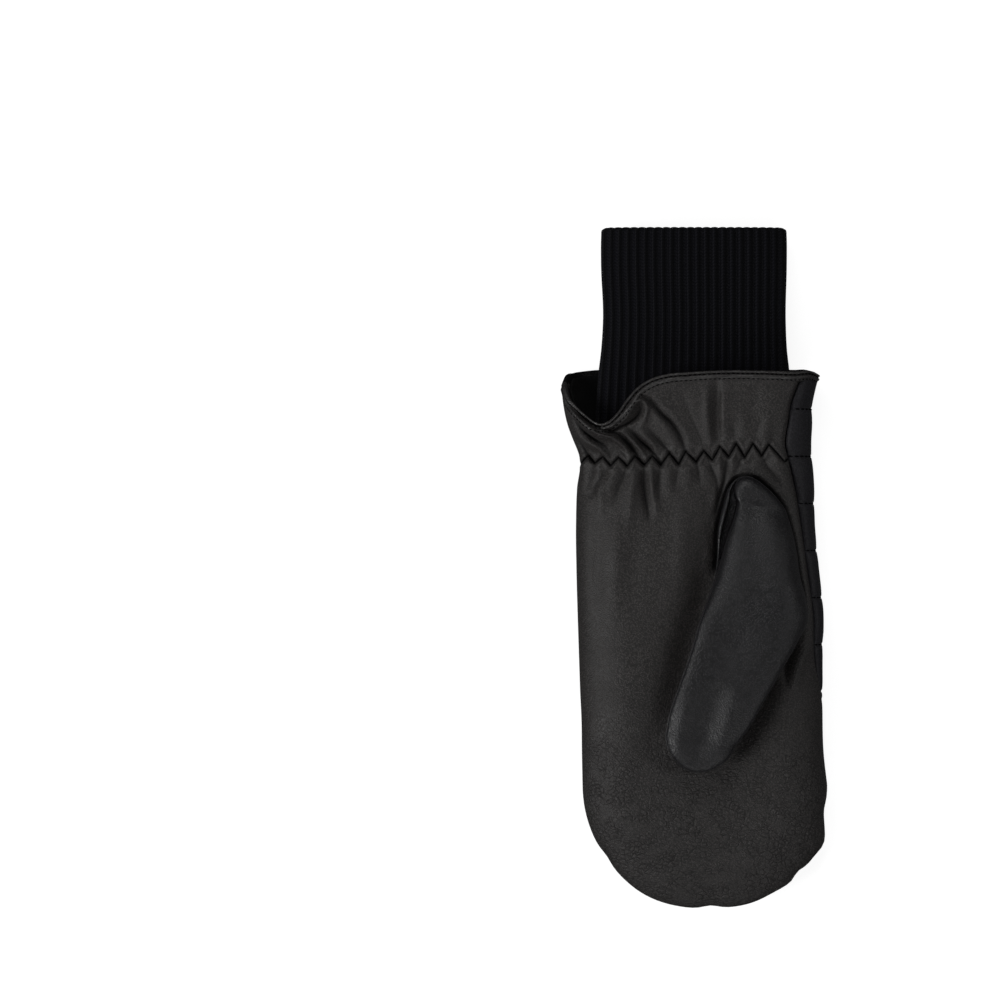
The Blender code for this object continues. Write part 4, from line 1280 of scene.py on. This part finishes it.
def quilting_line(y, palm, back):
    """Points round the hand at one quilting line, from the right seam under the back to the left seam."""
    pieces = bpy.context.evaluated_depsgraph_get()
    palm, back = palm.evaluated_get(pieces), back.evaluated_get(pieces)
    side_y = max(y, LAST_SECTION)
    left, right = section("left", side_y), section("right", side_y)
    middle = Vector(((left + right) / 2, y, section("edge", side_y))) * METRES
    points = []
    for bearing in range(0, 360):
        turn = math.radians(bearing)
        outwards = Vector((math.sin(turn), 0, math.cos(turn)))
        start = middle + outwards * SEARCH_FROM
        far = distance_to(back, start, -outwards)
        if far >= SEARCH_FROM or distance_to(palm, start, -outwards) < far:
            continue
        place = (start - outwards * far) / METRES
        if outwards.z < 0 or min(place.x - left, right - place.x) < UPPER_ROUNDING / 2:
            points.append(tuple(place))
    return points


def make_quilting_stitches(palm, back):
    stitches = []
    for i in range(QUILT_LINES):
        line = quilting_line(QUILT_FIRST - QUILT_PITCH * i, palm, back)
        stitches += stitches_along(line, QUILT_STITCH_PITCH, QUILT_STITCH_LENGTH)
    return make_threads("quilting_stitches", stitches, WRIST_THREAD_RADIUS)


# Materials

class Finish:
    """A procedural material. Its methods add nodes and give their outputs."""

    def __init__(self, name, roughness, specular):
        self.material = bpy.data.materials.new(name)
        self.material.use_nodes = True
        self.tree = self.material.node_tree
        self.shader = self.tree.nodes["Principled BSDF"]
        self.set("Roughness", roughness)
        self.set("Specular IOR Level", specular)
        self.place = self.node("TexCoord").outputs["Object"]

    def plug(self, value, socket):
        if isinstance(value, bpy.types.NodeSocket):
            self.tree.links.new(value, socket)
        else:
            socket.default_value = value

    def set(self, name, value):
        self.plug(value, self.shader.inputs[name])

    def node(self, kind, inputs=(), **settings):
        made = self.tree.nodes.new("ShaderNode" + kind)
        for name, value in settings.items():
            setattr(made, name, value)
        for name, value in dict(inputs).items():
            self.plug(value, made.inputs[name])
        return made

    def math(self, operation, *values):
        return self.node("Math", enumerate(values), operation=operation).outputs[0]

    def product(self, a, b):
        return self.math("MULTIPLY", a, b)

    def total(self, a, b):
        return self.math("ADD", a, b)

    def scaled(self, scale, turn=0.0):
        inputs = {"Vector": self.place, "Scale": scale, "Rotation": (0.0, 0.0, turn)}
        return self.node("Mapping", inputs).outputs["Vector"]

    def noise(self, scale, detail=3.0, roughness=0.5, place=None):
        inputs = {"Vector": place or self.place, "Scale": scale, "Detail": detail, "Roughness": roughness}
        return self.node("TexNoise", inputs).outputs

    def cells(self, place, scale, feature):
        inputs = {"Vector": place, "Scale": scale}
        return self.node("TexVoronoi", inputs, feature=feature).outputs["Distance"]

    def warped(self, place, scale, distance):
        """Coordinates pushed about by a noise, so that no pattern is regular."""
        pushed = self.noise(scale, 2.0, place=place)["Color"]
        centred = self.node("VectorMath", {0: pushed, 1: (0.5, 0.5, 0.5)}, operation="SUBTRACT").outputs[0]
        push = self.node("VectorMath", {0: centred, "Scale": distance}, operation="SCALE").outputs[0]
        return self.node("VectorMath", {0: place, 1: push}, operation="ADD").outputs[0]

    def remap(self, value, low, high, out_low=0.0, out_high=1.0):
        inputs = {"Value": value, "From Min": low, "From Max": high, "To Min": out_low, "To Max": out_high}
        return self.node("MapRange", inputs, interpolation_type="SMOOTHSTEP").outputs["Result"]

    def mix(self, share, a, b):
        """A colour between two others, each given as red, green and blue or as an output."""
        made = self.node("Mix", data_type="RGBA")
        self.plug(share, made.inputs[0])
        for colour, socket in [(a, made.inputs[6]), (b, made.inputs[7])]:
            self.plug((*colour, 1.0) if isinstance(colour, tuple) else colour, socket)
        return made.outputs[2]

    def bumps(self, *layers):
        """Raises the surface by each of the layers: a height and its depth in metres."""
        normal = None
        for height, depth in layers:
            inputs = {"Height": height, "Distance": depth}
            if normal:
                inputs["Normal"] = normal
            normal = self.node("Bump", inputs).outputs["Normal"]
        self.set("Normal", normal)


def leather(name, dark, light, grain, coarse, roughness, shine):
    """Leather with a grain of small pebbles, coarser and cracked towards the finger tip, and painted shade
    from the palm's crease attribute.
    """
    made = Finish(name, roughness, shine)
    stretched = made.scaled(WAVE_STRETCH)
    wander = made.noise(WANDER_SCALE, 2)["Fac"]
    fine = made.noise(FINE_SCALE, 2, 0.6)["Fac"]
    waves = made.noise(WAVE_SCALE, 3, 0.6, stretched)["Fac"]
    pebble = made.remap(made.cells(made.scaled(PEBBLE_STRETCH), PEBBLE_SCALE, "F1"), 0.05, 0.7, 1.0, 0.0)
    pushed = made.warped(made.scaled(WAVE_STRETCH, CRACK_TURN), CRACK_PUSH_SCALE, CRACK_PUSH)
    crack = made.cells(pushed, CRACK_SCALE, "DISTANCE_TO_EDGE")
    along = made.node("SeparateXYZ", {"Vector": made.place}).outputs["Y"]
    patches = made.remap(made.noise(PATCH_SCALE, 2)["Fac"], 0.36, 0.6, 0.35, 1.0)
    where = made.product(made.remap(along, *CRACKED_FROM_TO), patches)
    shoulder = made.product(made.remap(crack, 0.0, CRACK_SHOULDER), where)
    cracked = made.product(made.remap(crack, 0.0, CRACK_LINE, 1.0, 0.0), where)
    # Painted shade: the palm's crease attribute turns the colour to near black and roughens it in those
    # valleys and grooves
    crease = made.node("Attribute", attribute_name="crease").outputs["Fac"]
    made.bumps((wander, WANDER_DEPTH), (shoulder, CRACK_DEPTH * coarse), (waves, WAVE_DEPTH * coarse),
               (pebble, PEBBLE_DEPTH * grain), (fine, FINE_DEPTH * grain))
    tone = made.remap(made.math("MULTIPLY_ADD", pebble, 0.5, fine), 0.3, 1.2)
    tone = made.product(tone, made.remap(cracked, 0.0, 1.0, 1.0, CRACK_TONE))
    made.set("Base Color", made.mix(crease, made.mix(tone, dark, light), CREASE_SHADE_COLOUR))
    dull = made.total(made.remap(cracked, 0.0, 1.0, 0.0, CRACK_DULL), made.remap(pebble, 0.0, 0.7, 0.07, 0.0))
    rough = made.total(made.remap(wander, 0.3, 0.7, roughness - 0.05, roughness + 0.04), dull)
    made.set("Roughness", made.total(rough, made.product(crease, CREASE_DULL)))
    return made.material


def knit():
    """Ribbed knit: two columns of V-shaped stitches on each rib."""
    made = Finish("black_knit", 0.95, 0.03)
    made.set("Sheen Weight", 0.02)
    made.set("Sheen Roughness", 0.6)
    place = made.node("UVMap", uv_map="knit").outputs["UV"]
    split = made.node("SeparateXYZ", {"Vector": place})
    across, along = split.outputs["X"], split.outputs["Y"]

    def off_middle(value):
        return made.math("ABSOLUTE", made.math("SUBTRACT", made.math("FRACT", value), 0.5))

    off = off_middle(made.product(across, 2.0))
    slant = made.total(along, made.product(off, STITCH_SLANT))
    wave = made.math("SINE", made.product(slant, 2 * math.pi))
    round_leg = made.math("SINE", made.product(off, 2 * math.pi))
    stitch = made.product(made.total(wave, 1.0), round_leg)
    fuzz = made.noise(FUZZ_SCALE, 4, 0.7)["Fac"]
    made.bumps((stitch, KNIT_STITCH_DEPTH), (fuzz, FUZZ_DEPTH))
    rib = made.remap(off_middle(across), 0.5, 0.15)
    tone = made.product(made.total(stitch, 1.2), made.product(fuzz, rib))
    made.set("Base Color", made.mix(made.remap(tone, 0.1, 1.4), *KNIT_COLOURS))
    return made.material


def cloth():
    """The lining's smooth weave."""
    made = Finish("lining_cloth", 0.9, 0.08)
    inputs = {"Vector": made.place, "Scale": WEAVE_SCALE, "Distortion": 2.0}
    made.bumps((made.node("TexWave", inputs).outputs[1], WEAVE_DEPTH))
    made.set("Base Color", made.mix(made.noise(CLOTH_TONE_SCALE)["Fac"], *CLOTH_COLOURS))
    return made.material


def thread_material():
    made = Finish("black_thread", 0.95, 0.04)
    twist = made.noise(TWIST_SCALE, 2)["Fac"]
    made.bumps((twist, TWIST_DEPTH))
    made.set("Base Color", made.mix(twist, *THREAD_COLOURS))
    return made.material


# Stage

def make_glow(piece, name, specular, scale, tones, glow):
    """Dresses a part of the stage in a pale glow that doesn't light the mitten."""
    made = Finish(name, 0.9, specular)
    made.set("Base Color", made.mix(made.noise(scale)["Fac"], *[(tone, tone, tone) for tone in tones]))
    made.set("Emission Color", (1.0, 1.0, 1.0, 1.0))
    made.set("Emission Strength", glow)
    piece.data.materials.append(made.material)
    piece.visible_glossy = piece.visible_diffuse = False


def make_floor():
    bpy.ops.mesh.primitive_grid_add(size=FLOOR_SIZE, x_subdivisions=2, y_subdivisions=2,
                                    location=(0, 0, -FLOOR_BELOW))
    floor = bpy.context.object
    floor.name = "floor"
    make_glow(floor, "pale_floor", 0.1, 3.0, FLOOR_TONES, FLOOR_GLOW)


def make_backdrop():
    """A white dome round the floor, which only the camera sees."""
    bpy.ops.mesh.primitive_uv_sphere_add(segments=48, ring_count=24, radius=BACKDROP_RADIUS)
    backdrop = bpy.context.object
    backdrop.name = "backdrop"
    make_glow(backdrop, "white_backdrop", 0.0, 1.0, BACKDROP_TONES, 1.0)
    backdrop.visible_shadow = backdrop.visible_transmission = backdrop.visible_volume_scatter = False


def make_camera():
    data = bpy.data.cameras.new("camera")
    data.sensor_width = SENSOR
    data.lens = SENSOR * CAMERA_DISTANCE / (PICTURE_WIDTH * METRES)
    data.clip_end = CAMERA_REACH
    camera = bpy.data.objects.new("camera", data)
    x, y = CAMERA_OVER
    camera.location = (x * METRES, y * METRES, CAMERA_DISTANCE + WIDEST_HEIGHT * METRES)
    bpy.context.scene.collection.objects.link(camera)
    bpy.context.scene.camera = camera


def make_lights():
    for light in LIGHTS:
        data = bpy.data.lights.new(light.name, "AREA")
        data.shape = "RECTANGLE"
        data.size, data.size_y = light.width, light.depth
        data.energy = light.power
        lamp = bpy.data.objects.new(light.name, data)
        lamp.location = (light.x, light.y, light.z)
        lamp.rotation_euler = (-Vector(lamp.location)).to_track_quat("-Z", "Y").to_euler()
        bpy.context.scene.collection.objects.link(lamp)
    world = bpy.data.worlds.new("studio")
    world.use_nodes = True
    background = world.node_tree.nodes["Background"]
    background.inputs["Color"].default_value = (1.0, 1.0, 1.0, 1.0)
    background.inputs["Strength"].default_value = WORLD_LIGHT
    bpy.context.scene.world = world
    bpy.context.scene.view_settings.view_transform = "Standard"


# The whole mitten

def dress(piece, slot, nodes, *finishes):
    for finish in finishes:
        piece.data.materials.append(finish)
    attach(piece, "root")
    if nodes:
        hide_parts(*nodes)
    return piece


def main():
    make_camera()
    make_floor()
    make_backdrop()
    make_lights()
    seam_line = thumb_seam_line()
    palm_finish, thumb_finish, back_finish, binding_finish, painted_shade = [leather(*row) for row in LEATHERS]
    palm = dress(make_palm(seam_line), "palm_leather", ["palm"], palm_finish)
    back = dress(make_back(seam_line), "back_leather", ["back"], back_finish)
    dress(make_thumb(), "thumb_leather", ["thumb"], thumb_finish, painted_shade)
    dress(make_binding(), "binding_leather", ["rim_binding"], binding_finish, back_finish, painted_shade)
    lining = dress(make_lining(), "lining_fabric", ["gauntlet_lining"], cloth())
    dress(make_cuff(), "knit_fabric", ["knit_cuff"], knit())
    bpy.context.view_layer.update()
    thread = thread_material()
    for stitches in (make_wrist_stitches(palm), make_binding_stitches(), make_quilting_stitches(palm, back)):
        dress(stitches, "lining_fabric", [], thread)


main()
